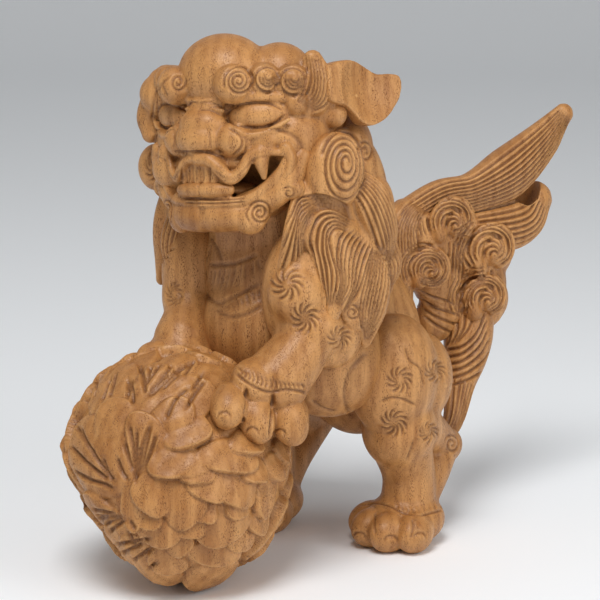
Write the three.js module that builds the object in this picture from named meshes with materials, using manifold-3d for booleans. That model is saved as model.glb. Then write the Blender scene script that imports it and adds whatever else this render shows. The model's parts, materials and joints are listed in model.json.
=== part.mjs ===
// A carved wooden guardian lion that stands with its forepaws on a peony ball.
// It is a joined-block carving: blocks of one wood are dowelled and glued, then carved together.
// Millimetres, +Z up. The lion faces -Y, and its left side is +X.
import * as THREE from "three";
import { mergeVertices } from "three/addons/utils/BufferGeometryUtils.js";
import Module from "manifold-3d";

const wasm = await Module();
wasm.setup();

// Joints between the blocks
const GLUE_GAP = 0.3;
const DOWEL_RADIUS = 4;
const PEG_RADIUS = 2.5;
const DOWEL_DEPTH = 11;
const PEG_DEPTH = 6.5;
const DOWEL_CLEARANCE = 0.3;
const PIN_SIDES = 14;

// Peony ball
const BALL_RADIUS = 42;
const BALL_HALF_HEIGHT = 46;
const BALL_SEAT_DEPTH = 1.2;
const BALL_RELIEF = 2;
const BLOSSOM_LATITUDE = 12;
const BLOSSOM_LONGITUDE = 62;
// Degrees from the blossom's axis to each row of petals and of leaves
const PETAL_POLARS = [0, 26, 52, 78];
const PETAL_HALF_LENGTH = 12;
const PETAL_HALF_WIDTH = 12;
const PETAL_HALF_THICKNESS = 5.6;
const LEAF_POLARS = [107, 140, 172];
const LEAF_HALF_LENGTH = 16;
const LEAF_HALF_WIDTH = 13;
const LEAF_HALF_THICKNESS = 7;
const SCALE_SPACING = 1.75;
const SCALE_TILT = 18;

// Body
const CHEST_HEIGHT = 114;
const CHEST_SET_BACK = 54;
const CHEST_HALF_WIDTH = 31;
const CHEST_HALF_DEPTH = 28;
const CHEST_HALF_HEIGHT = 38;
const RUMP_HEIGHT = 78;
const RUMP_SET_BACK = 101;
const RUMP_HALF_WIDTH = 29;
const RUMP_HALF_DEPTH = 25;
const RUMP_HALF_HEIGHT = 38;
const WAIST_HALF_WIDTH = 30;
const WAIST_HALF_HEIGHT = 33;
const WAIST_SAG = 5;
const WAIST_OVERLAP = 4;
const BREAST_HEIGHT = 95;
const BREAST_SET_BACK = 43;
const BREAST_HALF_WIDTH = 24;
const BREAST_HALF_DEPTH = 21;
const BREAST_HALF_HEIGHT = 25;
const NECK_RADIUS = 26;
const NECK_JOINT_HEIGHT = 141;

// Forelegs
const LEFT_SHOULDER_HALF_SPAN = 32;
const RIGHT_SHOULDER_HALF_SPAN = 26;
const SHOULDER_SET_BACK = 35;
const SHOULDER_HEIGHT = 114;
const SHOULDER_RADIUS = 17;
const ELBOW_FLARE = 3;
const ELBOW_SET_BACK = 4;
const FORELEG_RADIUS = 12;
const WRIST_RADIUS = 11;
const WRIST_ARCH = 5;
const PAW_HALF_WIDTH = 15;
const PAW_THICKNESS = 13;
const PAW_TOE_LENGTH = 22;
const PAW_TOE_RADIUS = 6.6;
// Degrees of latitude and longitude from the paw to each toe, from the inner toe to the outer one
const PAW_TOE_PLACES = [[4, -33], [-4, -26], [-13, -12], [-17, 9]];
const LEFT_PAW_LATITUDE = 44;
const LEFT_PAW_LONGITUDE = 109;
const RIGHT_PAW_LATITUDE = 61;
const RIGHT_PAW_LONGITUDE = 144;

// Hind legs
const HIP_HALF_SPAN = 31;
const HIP_SET_BACK = 90;
const HIP_HEIGHT = 72;
const THIGH_RADIUS = 18;
const THIGH_SAG = 5;
const LEG_TUCK = 4;
const SHANK_RADIUS = 13;
const ANKLE_RADIUS = 11;
const ANKLE_HEIGHT = 26;
const FOOT_HALF_SPAN = 30;
const FOOT_SET_BACK = 99;
const FOOT_HALF_WIDTH = 16;
const FOOT_HALF_LENGTH = 17;
const FOOT_HEIGHT = 21;
const FOOT_TOE_RADIUS = 8.2;
const FOOT_TOE_SPLAYS = [-62, -22, 18, 60];
const FOOT_SEAT_DEPTH = 0.8;
const HOCK_REACH = 24;
const HOCK_RISE = 8;
const HOCK_TUFT_RADIUS = 7.5;
const RIGHT_STEP = 22;

// Head
const HEAD_HEIGHT = 175;
const HEAD_SET_BACK = 48;
const HEAD_HALF_WIDTH = 36;
const HEAD_HALF_DEPTH = 36;
const HEAD_HALF_HEIGHT = 30;
const HEAD_TURN = 10;
const HEAD_TILT = 5;
const SKULL_HALF_HEIGHT = 26;
const BROW_DOME_RADIUS = 15;
const SIDE_DOME_RADIUS = 12.5;
const BROW_RADIUS = 6.5;
const TEMPLE_RADIUS = 5.5;
const EYE_HALF_WIDTH = 11;
const EYE_RADIUS = 6.5;
const NOSE_HALF_WIDTH = 16;
const NOSE_RADIUS = 8;
const MUZZLE_HALF_WIDTH = 25;
const MUZZLE_HALF_DEPTH = 15.5;
const MUZZLE_HALF_HEIGHT = 6.5;
const CHEEK_RADIUS = 13;
const CHIN_ROLL_RADIUS = 6.3;
const CHIN_HALF_WIDTH = 18;
const JAW_HALF_HEIGHT = 8;
const EAR_ROOT_RADIUS = 7;
const EAR_LENGTH = 34;
const EAR_HALF_WIDTH = 13;
const EAR_THICKNESS = 9;

// Mane
const MANE_CURL_RADIUS = 15;
const MANE_CURL_THICKNESS = 15;
const MANE_LOCK_RADIUS = 9;
const MANE_SPREAD = 42;
const MANE_DEPTH = 30;
const MANE_DROP = 84;
const NAPE_LOCK_RADIUS = 12;
const NAPE_SET_BACK = 46;
const NAPE_DROP = 66;

// Tail
const TAIL_SWING = 12;
const TAIL_SET_BACK = 118;
const TAIL_ROOT_HEIGHT = 80;
const TAIL_REACH = 95;
const TAIL_RISE = 86;
const TAIL_DRIFT = 19;
const TAIL_STEM_RADIUS = 10;
const TAIL_HALF_THICKNESS = 10;
const TAIL_CURL_RADIUS = 12;
const TAIL_LOCK_RADIUS = 8.5;
// Each strand of the flame: its offset, half width and half thickness as shares of the lock's radius
const FLAME_STRANDS = [[-0.74, 0.28, 0.5], [-0.27, 0.31, 0.82], [0.27, 0.31, 0.82], [0.74, 0.28, 0.5]];

const SIDES = 8;
const BLOCK_SIZE = 900;
const UP = new THREE.Vector3(0, 0, 1);
const BACKWARD = new THREE.Vector3(0, 1, 0);
const LEFTWARD = new THREE.Vector3(1, 0, 0);
const radians = THREE.MathUtils.degToRad;
const point = (x, y, z) => new THREE.Vector3(x, y, z);
const between = (a, b, share) => a.clone().lerp(b, share);
const along = (a, direction, length) => a.clone().addScaledVector(direction, length);

// Solids: a form is a function of how much it is thickened, so that a neighbour can be cut clear of it.

function toSolid(geometry) {
  geometry.deleteAttribute("normal");
  geometry.deleteAttribute("uv");
  const merged = mergeVertices(geometry, 1e-4);
  return new wasm.Manifold(
    new wasm.Mesh({
      numProp: 3,
      vertProperties: merged.getAttribute("position").array,
      triVerts: new Uint32Array(merged.index.array),
    }),
  );
}

function toGeometry(solid) {
  const mesh = solid.getMesh();
  return new THREE.BufferGeometry()
    .setAttribute("position", new THREE.BufferAttribute(mesh.vertProperties, 3))
    .setIndex(new THREE.BufferAttribute(mesh.triVerts, 1));
}

// An ellipsoid whose own Z axis points along normal, and whose X axis lies as near ahead as it can.
function blob(at, size, { normal = UP, ahead = LEFTWARD, sides = SIDES } = {}) {
  const z = normal.clone().normalize();
  const y = z.clone().cross(ahead).normalize();
  const turn = new THREE.Matrix4().makeBasis(y.clone().cross(z), y, z).setPosition(at);
  return (grow) =>
    new THREE.SphereGeometry(1, sides, Math.round(sides * 0.6))
      .rotateX(Math.PI / 2)
      .scale(size[0] + grow, size[1] + grow, size[2] + grow)
      .applyMatrix4(turn);
}

// A round-ended limb through the points, with a radius at each, thinned along thinWay.
function limb(points, radii, { thin = 1, thinWay = LEFTWARD, sides = SIDES, steps = 2 } = {}) {
  const curve = new THREE.CatmullRomCurve3(points, false, "centripetal");
  const count = (points.length - 1) * steps;
  const roundings = [Math.PI / 4];
  return (grow) => {
    const rings = [];
    const addRing = (share, spread, push) => {
      const place = share * (points.length - 1);
      const low = Math.min(Math.floor(place), points.length - 2);
      const radius = THREE.MathUtils.lerp(radii[low], radii[low + 1], place - low) + grow;
      const ahead = curve.getTangent(share);
      const side = thinWay.clone().cross(ahead).normalize();
      const over = ahead.clone().cross(side);
      const centre = along(curve.getPoint(share), ahead, push * radius);
      const high = (radius * thin + grow * (1 - thin)) * spread;
      rings.push({ centre, side, over, wide: radius * spread, high });
    };
    addRing(0, 0, -1);
    for (const turn of roundings) addRing(0, Math.cos(turn), -Math.sin(turn));
    for (let i = 0; i <= count; i++) addRing(i / count, 1, 0);
    for (const turn of [...roundings].reverse()) addRing(1, Math.cos(turn), Math.sin(turn));
    addRing(1, 0, 1);
    return skin(rings, sides);
  };
}

// The closed surface over a row of elliptical rings whose first and last ring are single points.
function skin(rings, sides) {
  const position = [];
  const index = [];
  const inner = rings.slice(1, -1);
  for (const { centre, side, over, wide, high } of inner) {
    for (let i = 0; i < sides; i++) {
      const turn = (i / sides) * 2 * Math.PI;
      const p = along(along(centre, side, Math.cos(turn) * wide), over, Math.sin(turn) * high);
      position.push(p.x, p.y, p.z);
    }
  }
  const first = position.length / 3;
  for (const end of [rings[0], rings[rings.length - 1]]) position.push(...end.centre.toArray());
  for (let i = 0; i < sides; i++) {
    const next = (i + 1) % sides;
    index.push(first, next, i);
    for (let r = 0; r + 1 < inner.length; r++) {
      const low = r * sides;
      const high = low + sides;
      index.push(low + i, low + next, high + next, low + i, high + next, high + i);
    }
    const last = (inner.length - 1) * sides;
    index.push(last + i, last + next, first + 1);
  }
  return new THREE.BufferGeometry()
    .setAttribute("position", new THREE.Float32BufferAttribute(position, 3))
    .setIndex(index);
}

function solid(forms, grow = 0) {
  return forms.map((form) => toSolid(form(grow))).reduce((a, b) => a.add(b));
}

// All that lies above a level plane.
function above(height) {
  return toSolid(
    new THREE.BoxGeometry(BLOCK_SIZE, BLOCK_SIZE, BLOCK_SIZE).translate(0, 0, height + BLOCK_SIZE / 2),
  );
}

// Peony ball: petals overlap in rows round the blossom, and leaves wrap the rest.

const ballCentre = point(0, 0, BALL_HALF_HEIGHT - BALL_SEAT_DEPTH);

// A direction from the ball's centre. Longitude is counted from -Y towards +X.
function fromBall(latitude, longitude) {
  const level = Math.cos(radians(latitude));
  return point(
    level * Math.sin(radians(longitude)),
    -level * Math.cos(radians(longitude)),
    Math.sin(radians(latitude)),
  );
}

// The point of the ball's surface in a direction from its centre, raised by a height.
function onBall(out, height = 0) {
  const level = Math.hypot(out.x, out.y) / BALL_RADIUS;
  return along(ballCentre, out, 1 / Math.hypot(level, out.z / BALL_HALF_HEIGHT) + height);
}

const blossomAxis = fromBall(BLOSSOM_LATITUDE, BLOSSOM_LONGITUDE);
const blossomRight = UP.clone().cross(blossomAxis).normalize();

// A direction at polar degrees from the blossom's axis, turned round it by turn degrees.
function onBlossom(polar, turn) {
  return blossomAxis
    .clone()
    .applyAxisAngle(blossomRight, radians(polar))
    .applyAxisAngle(blossomAxis, radians(turn));
}

// A row of scales at polar degrees from the blossom's axis, each with its outer edge lifted.
function scaleRow(polar, row, [halfLength, halfWidth, halfThickness]) {
  const girth = 2 * Math.PI * BALL_RADIUS * Math.sin(radians(polar));
  const count = Math.max(1, Math.round(girth / (SCALE_SPACING * halfWidth)));
  const scales = [];
  for (let i = 0; i < count; i++) {
    const turn = ((i + (row % 2) / 2) / count) * 360;
    const place = onBall(onBlossom(polar, turn), BALL_RELIEF - halfThickness);
    const normal = onBlossom(polar - SCALE_TILT, turn);
    const ahead = onBlossom(polar + 90, turn);
    scales.push(blob(place, [halfLength, halfWidth, halfThickness], { normal, ahead, sides: 6 }));
  }
  return scales;
}

const petalSize = [PETAL_HALF_LENGTH, PETAL_HALF_WIDTH, PETAL_HALF_THICKNESS];
const leafSize = [LEAF_HALF_LENGTH, LEAF_HALF_WIDTH, LEAF_HALF_THICKNESS];
const ball = [
  blob(ballCentre, [BALL_RADIUS, BALL_RADIUS, BALL_HALF_HEIGHT], { sides: 18 }),
  ...PETAL_POLARS.flatMap((polar, row) => scaleRow(polar, row, petalSize)),
  ...LEAF_POLARS.flatMap((polar, row) => scaleRow(polar, row, leafSize)),
];

// Body: chest, breast, waist and rump in one block, with the neck planed level for the head.

const chestCentre = point(0, CHEST_SET_BACK, CHEST_HEIGHT);
const breastCentre = point(0, BREAST_SET_BACK, BREAST_HEIGHT);
const rumpCentre = point(0, RUMP_SET_BACK, RUMP_HEIGHT);
const headCentre = point(0, HEAD_SET_BACK, HEAD_HEIGHT);
const waistCentre = between(chestCentre, rumpCentre, 0.55).add(point(0, 0, -WAIST_SAG));
const waistHalfDepth = chestCentre.distanceTo(rumpCentre) / 2 + WAIST_OVERLAP;
const neckTop = between(chestCentre, headCentre, 0.8);
const neckSeat = between(chestCentre, headCentre, 0.5).setZ(NECK_JOINT_HEIGHT);
const body = [
  blob(chestCentre, [CHEST_HALF_WIDTH, CHEST_HALF_DEPTH, CHEST_HALF_HEIGHT], { sides: 10 }),
  blob(breastCentre, [BREAST_HALF_WIDTH, BREAST_HALF_DEPTH, BREAST_HALF_HEIGHT], { sides: 10 }),
  blob(waistCentre, [WAIST_HALF_WIDTH, waistHalfDepth, WAIST_HALF_HEIGHT], { sides: 10 }),
  blob(rumpCentre, [RUMP_HALF_WIDTH, RUMP_HALF_DEPTH, RUMP_HALF_HEIGHT], { sides: 10 }),
  limb([chestCentre, neckTop], [NECK_RADIUS, NECK_RADIUS], { sides: 10, steps: 1 }),
];

// Head: a skull with three brow domes, brows, nose, muzzle and cheeks.

// A point of the head, given as shares of its half width, half depth and half height.
function onHead(x, y, z) {
  const offset = point(x * HEAD_HALF_WIDTH, y * HEAD_HALF_DEPTH, z * HEAD_HALF_HEIGHT);
  return turnHead(offset).add(headCentre);
}

// The head leans to its right and turns to its left.
function turnHead(direction) {
  return direction.applyAxisAngle(BACKWARD, -radians(HEAD_TILT)).applyAxisAngle(UP, radians(HEAD_TURN));
}

const headLeft = turnHead(LEFTWARD.clone());
const headUp = turnHead(UP.clone());
const pair = (make) => [make(1), make(-1)];
const skullSize = [HEAD_HALF_WIDTH, HEAD_HALF_DEPTH, SKULL_HALF_HEIGHT];
const browDomeSize = [BROW_DOME_RADIUS * 1.13, BROW_DOME_RADIUS, BROW_DOME_RADIUS * 0.95];
const bridgeSize = [NOSE_HALF_WIDTH * 0.75, NOSE_RADIUS * 1.6, NOSE_RADIUS * 1.2];
const noseSize = [NOSE_HALF_WIDTH, NOSE_RADIUS * 1.3, NOSE_RADIUS];
const muzzleSize = [MUZZLE_HALF_WIDTH, MUZZLE_HALF_DEPTH, MUZZLE_HALF_HEIGHT];
const eyeSize = [EYE_HALF_WIDTH, EYE_RADIUS, EYE_RADIUS];
const cheekSize = [CHEEK_RADIUS * 0.8, CHEEK_RADIUS * 1.2, CHEEK_RADIUS * 1.15];
const leftBrow = [[0.17, -0.92, 0.52], [0.53, -0.68, 0.6], [0.88, -0.42, 0.52]];
const rightBrow = [[0.17, -0.92, 0.52], [0.56, -0.76, 0.58], [0.9, -0.6, 0.42]];
const leftTemple = [[0.92, -0.36, 0.78], [1, -0.3, 0.52], [0.97, -0.33, 0.22]];
const rightTemple = [[0.96, -0.33, 0.5], [0.97, -0.33, 0.12]];
const headPose = { normal: headUp, ahead: headLeft };

// A limb of the head through points given as shares of its half sizes, on one side.
function headLimb(side, places, radius) {
  return limb(
    places.map(([x, y, z]) => onHead(side * x, y, z)),
    places.map(() => radius),
  );
}

const head = [
  blob(onHead(0, 0.11, 0), skullSize, { ...headPose, sides: 12 }),
  blob(onHead(0, -0.72, 0.73), browDomeSize, { ...headPose, sides: 10 }),
  blob(onHead(0, -0.78, 0.27), bridgeSize, headPose),
  blob(onHead(0, -0.97, -0.03), noseSize, { ...headPose, sides: 10 }),
  blob(onHead(0, -0.72, -0.3), muzzleSize, { ...headPose, sides: 10 }),
  limb([onHead(0, 0.2, -0.2), neckSeat], [NECK_RADIUS, NECK_RADIUS], { sides: 10, steps: 1 }),
  headLimb(1, leftBrow, BROW_RADIUS),
  headLimb(-1, rightBrow, BROW_RADIUS),
  headLimb(1, leftTemple, TEMPLE_RADIUS),
  headLimb(-1, rightTemple, TEMPLE_RADIUS),
  ...pair((side) => blob(onHead(side * 0.47, -0.42, 0.7), Array(3).fill(SIDE_DOME_RADIUS))),
  ...pair((side) => blob(onHead(side * 0.56, -0.75, 0.28), eyeSize, headPose)),
  ...pair((side) => blob(onHead(side * 0.8, -0.39, -0.13), cheekSize, headPose)),
];

// Lower jaw: the chin is a level roll that ends in a curl at each side.

const chinShare = CHIN_HALF_WIDTH / HEAD_HALF_WIDTH;
const jawSize = [CHIN_HALF_WIDTH + CHIN_ROLL_RADIUS / 2, HEAD_HALF_DEPTH * 0.55, JAW_HALF_HEIGHT];
const jaw = [
  blob(onHead(0, -0.62, -0.96), jawSize, { ...headPose, sides: 10 }),
  limb(
    [-1, 0, 1].map((share) => onHead(share * chinShare, -1 + 0.08 * share * share, -1.12)),
    Array(3).fill(CHIN_ROLL_RADIUS),
  ),
  ...pair((side) => blob(onHead(side * chinShare, -0.92, -1.08), Array(3).fill(CHIN_ROLL_RADIUS * 1.15))),
];

// Ears: leaf-shaped flaps laid back against the mane.

function ear(side) {
  const root = onHead(side * 0.96, -0.2, 0.42);
  const tip = onHead(side * 1.33, 0.56, 0.34);
  const lie = tip.clone().sub(root).normalize();
  const face = lie.clone().cross(UP).multiplyScalar(side).add(point(0, 0, 0.35));
  const middle = along(root, lie, EAR_LENGTH * 0.44);
  const flapSize = [EAR_LENGTH / 2, EAR_HALF_WIDTH, EAR_THICKNESS / 2];
  return [
    blob(middle, flapSize, { normal: face, ahead: lie, sides: 10 }),
    limb([root, middle], [EAR_ROOT_RADIUS, EAR_THICKNESS * 0.45]),
  ];
}

// Mane: snail curls beside the cheeks, with locks that fall over the shoulders and down the nape.

const maneCentre = onHead(0, 0.1, 0);

// A point of the mane at shares of its spread, its depth behind the head's centre and its drop.
function onMane(side, spread, back, drop) {
  return maneCentre.clone().add(point(side * spread * MANE_SPREAD, back * MANE_DEPTH, -drop * MANE_DROP));
}

function mane(side) {
  const outward = LEFTWARD.clone().multiplyScalar(side);
  const curl = (spread, back, drop, size, face) => {
    const radius = MANE_CURL_RADIUS * size;
    const pose = { normal: face, ahead: BACKWARD, sides: 10 };
    return blob(onMane(side, spread, back, drop), [radius, radius, MANE_CURL_THICKNESS / 2], pose);
  };
  const lock = (places, sizes) =>
    limb(
      places.map((place) => onMane(side, ...place)),
      sizes.map((size) => size * MANE_LOCK_RADIUS),
      { thin: 0.6, thinWay: outward },
    );
  const ground = [MANE_DEPTH * 0.8, MANE_DROP * 0.4, MANE_LOCK_RADIUS * 1.2];
  return [
    blob(onMane(side, 0.86, 0.13, 0.42), ground, { normal: outward, ahead: BACKWARD, sides: 10 }),
    curl(1.08, -0.27, 0.14, 1, outward),
    curl(1, 0.6, 0.38, 0.95, point(side, 0.5, 0)),
    curl(0.8, 0.53, 0.08, 0.85, point(side, 0.9, 0.2)),
    lock([[0.9, -0.53, 0.24], [0.95, -0.73, 0.42], [0.86, -0.87, 0.57]], [0.8, 0.95, 0.5]),
    lock([[1, -0.2, 0.3], [1.05, -0.3, 0.5], [1.06, -0.2, 0.68], [1.05, 0, 0.84]], [1, 1.15, 1, 0.4]),
    lock([[1.02, 0.2, 0.42], [1.1, 0.4, 0.62], [1.1, 0.47, 0.8], [1.04, 0.4, 0.98]], [0.9, 1.1, 0.95, 0.35]),
    lock([[1, 0.67, 0.5], [1.06, 0.83, 0.64], [1.02, 0.9, 0.76]], [0.9, 0.85, 0.35]),
  ];
}

function napeMane() {
  const place = (spread, back, drop) =>
    maneCentre.clone().add(point(spread * MANE_SPREAD, back * NAPE_SET_BACK, -drop * NAPE_DROP));
  const lock = (spread, size) =>
    limb(
      [[0.36, -0.1], [0.54, 0.15], [0.73, 0.5], [0.88, 1]].map((fall) => place(spread, ...fall)),
      [0.92, 1, 0.92, 0.42].map((share) => share * size * NAPE_LOCK_RADIUS),
      { thin: 0.7, thinWay: BACKWARD },
    );
  const ground = [MANE_SPREAD * 0.76, NAPE_SET_BACK * 0.43, NAPE_DROP * 0.52];
  return [blob(place(0, 0.35, 0.3), ground, { sides: 10 }), lock(0, 1.1), lock(0.38, 1), lock(-0.38, 1)];
}

// Forelegs: each reaches from the shoulder over the ball, and the paw lies on it.

function foreleg(side, halfSpan, latitude, longitude) {
  const shoulder = point(side * halfSpan, SHOULDER_SET_BACK, SHOULDER_HEIGHT);
  const out = fromBall(latitude, side * longitude);
  const paw = onBall(out, PAW_THICKNESS * 0.55);
  const elbow = between(shoulder, paw, 0.4).add(point(side * ELBOW_FLARE, ELBOW_SET_BACK, 0));
  const wrist = between(shoulder, paw, 0.74).add(point(0, WRIST_ARCH, WRIST_ARCH * 0.6));
  const forward = BACKWARD.clone().negate();
  const forms = [
    blob(shoulder, [SHOULDER_RADIUS * 0.9, SHOULDER_RADIUS, SHOULDER_RADIUS * 1.5], { sides: 10 }),
    blob(elbow, [SHOULDER_RADIUS * 0.78, SHOULDER_RADIUS * 0.95, SHOULDER_RADIUS * 0.9]),
    limb([shoulder, elbow, wrist, paw], [SHOULDER_RADIUS * 0.8, FORELEG_RADIUS, WRIST_RADIUS, WRIST_RADIUS]),
    blob(paw, [PAW_HALF_WIDTH, PAW_HALF_WIDTH, PAW_THICKNESS * 0.72], { normal: out, ahead: forward }),
  ];
  const toeSize = [PAW_TOE_LENGTH / 2, PAW_TOE_RADIUS, PAW_TOE_RADIUS];
  for (const [climb, swing] of PAW_TOE_PLACES) {
    const toe = fromBall(latitude + climb, side * (longitude + swing));
    const place = onBall(toe, PAW_TOE_RADIUS * 0.75);
    forms.push(blob(place, toeSize, { normal: toe, ahead: forward, sides: 7 }));
  }
  return { forms, shoulder, out };
}

// Hind legs: thigh, shank with its hock tuft, and a broad foot planed flat below.

function hindLeg(side, step) {
  const hip = point(side * HIP_HALF_SPAN, HIP_SET_BACK - step * 0.2, HIP_HEIGHT);
  const foot = point(side * FOOT_HALF_SPAN, FOOT_SET_BACK - step, FOOT_HEIGHT * 0.45);
  const ankle = point(foot.x, foot.y + LEG_TUCK, ANKLE_HEIGHT);
  const knee = between(hip, ankle, 0.5).add(point(0, -LEG_TUCK, 0));
  const hock = along(ankle, BACKWARD, HOCK_REACH + step * 0.4);
  hock.add(point(-side * LEG_TUCK * 0.75, 0, HOCK_RISE + step * 0.5));
  const haunch = along(hip, BACKWARD, THIGH_RADIUS).add(point(-side * LEG_TUCK, 0, -THIGH_SAG));
  const forms = [
    blob(hip, [THIGH_RADIUS * 0.9, THIGH_RADIUS * 1.15, THIGH_RADIUS * 1.4], { sides: 10 }),
    blob(haunch, [THIGH_RADIUS * 0.8, THIGH_RADIUS * 0.9, THIGH_RADIUS * 1.1]),
    blob(knee, [SHANK_RADIUS * 1.15, SHANK_RADIUS * 1.3, SHANK_RADIUS * 1.3]),
    limb([hip, knee, ankle, foot], [SHANK_RADIUS, SHANK_RADIUS, ANKLE_RADIUS, ANKLE_RADIUS]),
    limb([along(knee, BACKWARD, SHANK_RADIUS * 0.7), hock], [SHANK_RADIUS * 0.95, HOCK_TUFT_RADIUS * 0.8]),
    blob(hock, Array(3).fill(HOCK_TUFT_RADIUS), { sides: 10 }),
    blob(foot, [FOOT_HALF_WIDTH, FOOT_HALF_LENGTH, FOOT_HEIGHT * 0.55]),
  ];
  const toeSize = [FOOT_TOE_RADIUS * 1.25, FOOT_TOE_RADIUS, FOOT_TOE_RADIUS];
  for (const splay of FOOT_TOE_SPLAYS) {
    const way = BACKWARD.clone().negate().applyAxisAngle(UP, radians(side * splay));
    const toe = foot.clone().add(point(way.x * FOOT_HALF_WIDTH, way.y * FOOT_HALF_LENGTH, 0));
    toe.lerp(foot, 0.15).setZ(FOOT_TOE_RADIUS - FOOT_SEAT_DEPTH);
    forms.push(blob(toe, toeSize, { ahead: way, sides: 7 }));
  }
  return { forms, hip };
}

// Tail: a stem of curls in one upright plane, with a flame, a rear lock and a hanging lock glued on.

const tailBack = BACKWARD.clone().applyAxisAngle(UP, -radians(TAIL_SWING));
const tailSide = tailBack.clone().cross(UP);

// A point of the tail at shares of its reach, its rise and its drift to the left.
function onTail(reach, rise, drift = 0) {
  const root = point(0, TAIL_SET_BACK, TAIL_ROOT_HEIGHT + rise * TAIL_RISE);
  return along(along(root, tailBack, reach * TAIL_REACH), tailSide, drift * TAIL_DRIFT);
}

const tailThin = TAIL_HALF_THICKNESS / TAIL_CURL_RADIUS;

function tailLock(places, sizes) {
  return limb(
    places.map((place) => onTail(...place)),
    sizes.map((size) => size * TAIL_LOCK_RADIUS),
    { thin: 0.85, thinWay: tailSide },
  );
}

const tailCurl = (reach, rise, size) =>
  blob(onTail(reach, rise), [TAIL_CURL_RADIUS * size, TAIL_CURL_RADIUS * size, TAIL_HALF_THICKNESS], {
    normal: tailSide,
    ahead: tailBack,
    sides: 10,
  });
const tailForms = [
  limb(
    [onTail(0.02, -0.06), onTail(0.02, 0.2), onTail(0.04, 0.42), onTail(0.12, 0.54)],
    [1, 1, 1.1, 1].map((size) => size * TAIL_STEM_RADIUS),
  ),
  limb(
    [onTail(0.1, 0.5), onTail(0.32, 0.4), onTail(0.52, 0.24), onTail(0.53, 0.06)],
    Array(4).fill(TAIL_STEM_RADIUS),
    { thin: tailThin, thinWay: tailSide },
  ),
  tailCurl(0.34, 0.49, 1.1),
  tailCurl(0.21, 0.29, 0.8),
  tailCurl(0.55, 0.34, 1.05),
  tailCurl(0.54, 0.1, 0.95),
  tailCurl(0.29, 0.22, 0.95),
  tailCurl(0.35, 0.04, 0.95),
];
const flamePlaces = [[0.06, 0.52], [0.28, 0.62], [0.46, 0.65], [0.66, 0.7], [0.84, 0.85], [0.98, 0.99]];
const flameSizes = [1, 1.02, 1.1, 1.12, 0.92, 0.42];
const flameLine = new THREE.CatmullRomCurve3(flamePlaces.map((place) => onTail(...place)));

// A strand of the flame, laid beside its middle line at a share of its half width.
function flameStrand([offset, halfWidth, halfThickness]) {
  const places = flameLine.points.map((middle, i) => {
    const across = flameLine.getTangent(i / (flameSizes.length - 1)).cross(tailSide);
    return along(middle, across, offset * flameSizes[i] * TAIL_LOCK_RADIUS);
  });
  const radii = flameSizes.map((size) => size * halfWidth * TAIL_LOCK_RADIUS);
  return limb(places, radii, { thin: halfThickness / halfWidth, thinWay: tailSide });
}

const flame = FLAME_STRANDS.map(flameStrand);
const rearLock = [tailLock([[0.45, 0.46], [0.64, 0.46], [0.76, 0.49], [0.86, 0.54]], [1.1, 1.4, 1.35, 1.1])];
const hangingLock = [
  tailLock(
    [[0.44, 0.05, 0.1], [0.39, -0.06, 0.2], [0.32, -0.17, 0.4], [0.25, -0.32, 0.67], [0.16, -0.5, 1]],
    [1.12, 1.12, 0.92, 0.75, 0.52],
  ),
];

const leftForeleg = foreleg(1, LEFT_SHOULDER_HALF_SPAN, LEFT_PAW_LATITUDE, LEFT_PAW_LONGITUDE);
const rightForeleg = foreleg(-1, RIGHT_SHOULDER_HALF_SPAN, RIGHT_PAW_LATITUDE, RIGHT_PAW_LONGITUDE);
const leftHind = hindLeg(1, 0);
const rightHind = hindLeg(-1, RIGHT_STEP);

// Dowels: a straight round pin across each main joint, in a drilled hole.

function pin(name, centre, direction, depth, radius) {
  const turn = new THREE.Quaternion().setFromUnitVectors(BACKWARD, direction.clone().normalize());
  return { name, centre, turn, length: depth * 2, radius };
}

const dowel = (name, centre, direction) => pin(name, centre, direction, DOWEL_DEPTH, DOWEL_RADIUS);
const peg = (name, centre, direction) => pin(name, centre, direction, PEG_DEPTH, PEG_RADIUS);

function pinGeometry({ length, radius }, clearance) {
  const outer = radius + clearance;
  return new THREE.CylinderGeometry(outer, outer, length + 2 * clearance, PIN_SIDES);
}

const headFront = turnHead(BACKWARD.clone()).negate();
const jawSeat = along(neckTop, headFront, NECK_RADIUS).setZ(onHead(0, 0, -0.95).z);
const tailSeat = point(0, RUMP_SET_BACK + RUMP_HALF_DEPTH * 0.8, RUMP_HEIGHT + RUMP_HALF_HEIGHT * 0.6);

function sidePins(word, side, { shoulder, out }, { hip }) {
  const shoulderSeat = between(shoulder, chestCentre, 0.3).setZ(shoulder.z);
  shoulderSeat.setX(side * CHEST_HALF_WIDTH * 0.86);
  const hipSeat = between(hip, rumpCentre, 0.4).setZ(hip.z);
  hipSeat.setX(side * RUMP_HALF_WIDTH * 0.95);
  return [
    dowel(`${word}_shoulder_dowel`, shoulderSeat, LEFTWARD),
    dowel(`${word}_hip_dowel`, hipSeat, LEFTWARD),
    peg(`${word}_paw_peg`, onBall(out, BALL_RELIEF), out),
    peg(`${word}_ear_peg`, onHead(side * 0.9, -0.17, 0.42), headLeft),
  ];
}

const pins = [
  dowel("neck_dowel", neckSeat, UP),
  dowel("tail_dowel", tailSeat, onTail(0.04, 0.42).sub(rumpCentre)),
  peg("jaw_peg", jawSeat, headFront),
  ...sidePins("left", 1, leftForeleg, leftHind),
  ...sidePins("right", -1, rightForeleg, rightHind),
];
const holes = pins.map((each) =>
  toSolid(pinGeometry(each, DOWEL_CLEARANCE).applyQuaternion(each.turn).translate(...each.centre.toArray())),
);

// Assembly: each block in the order that it is glued on, cut clear of the earlier ones and drilled.

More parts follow.
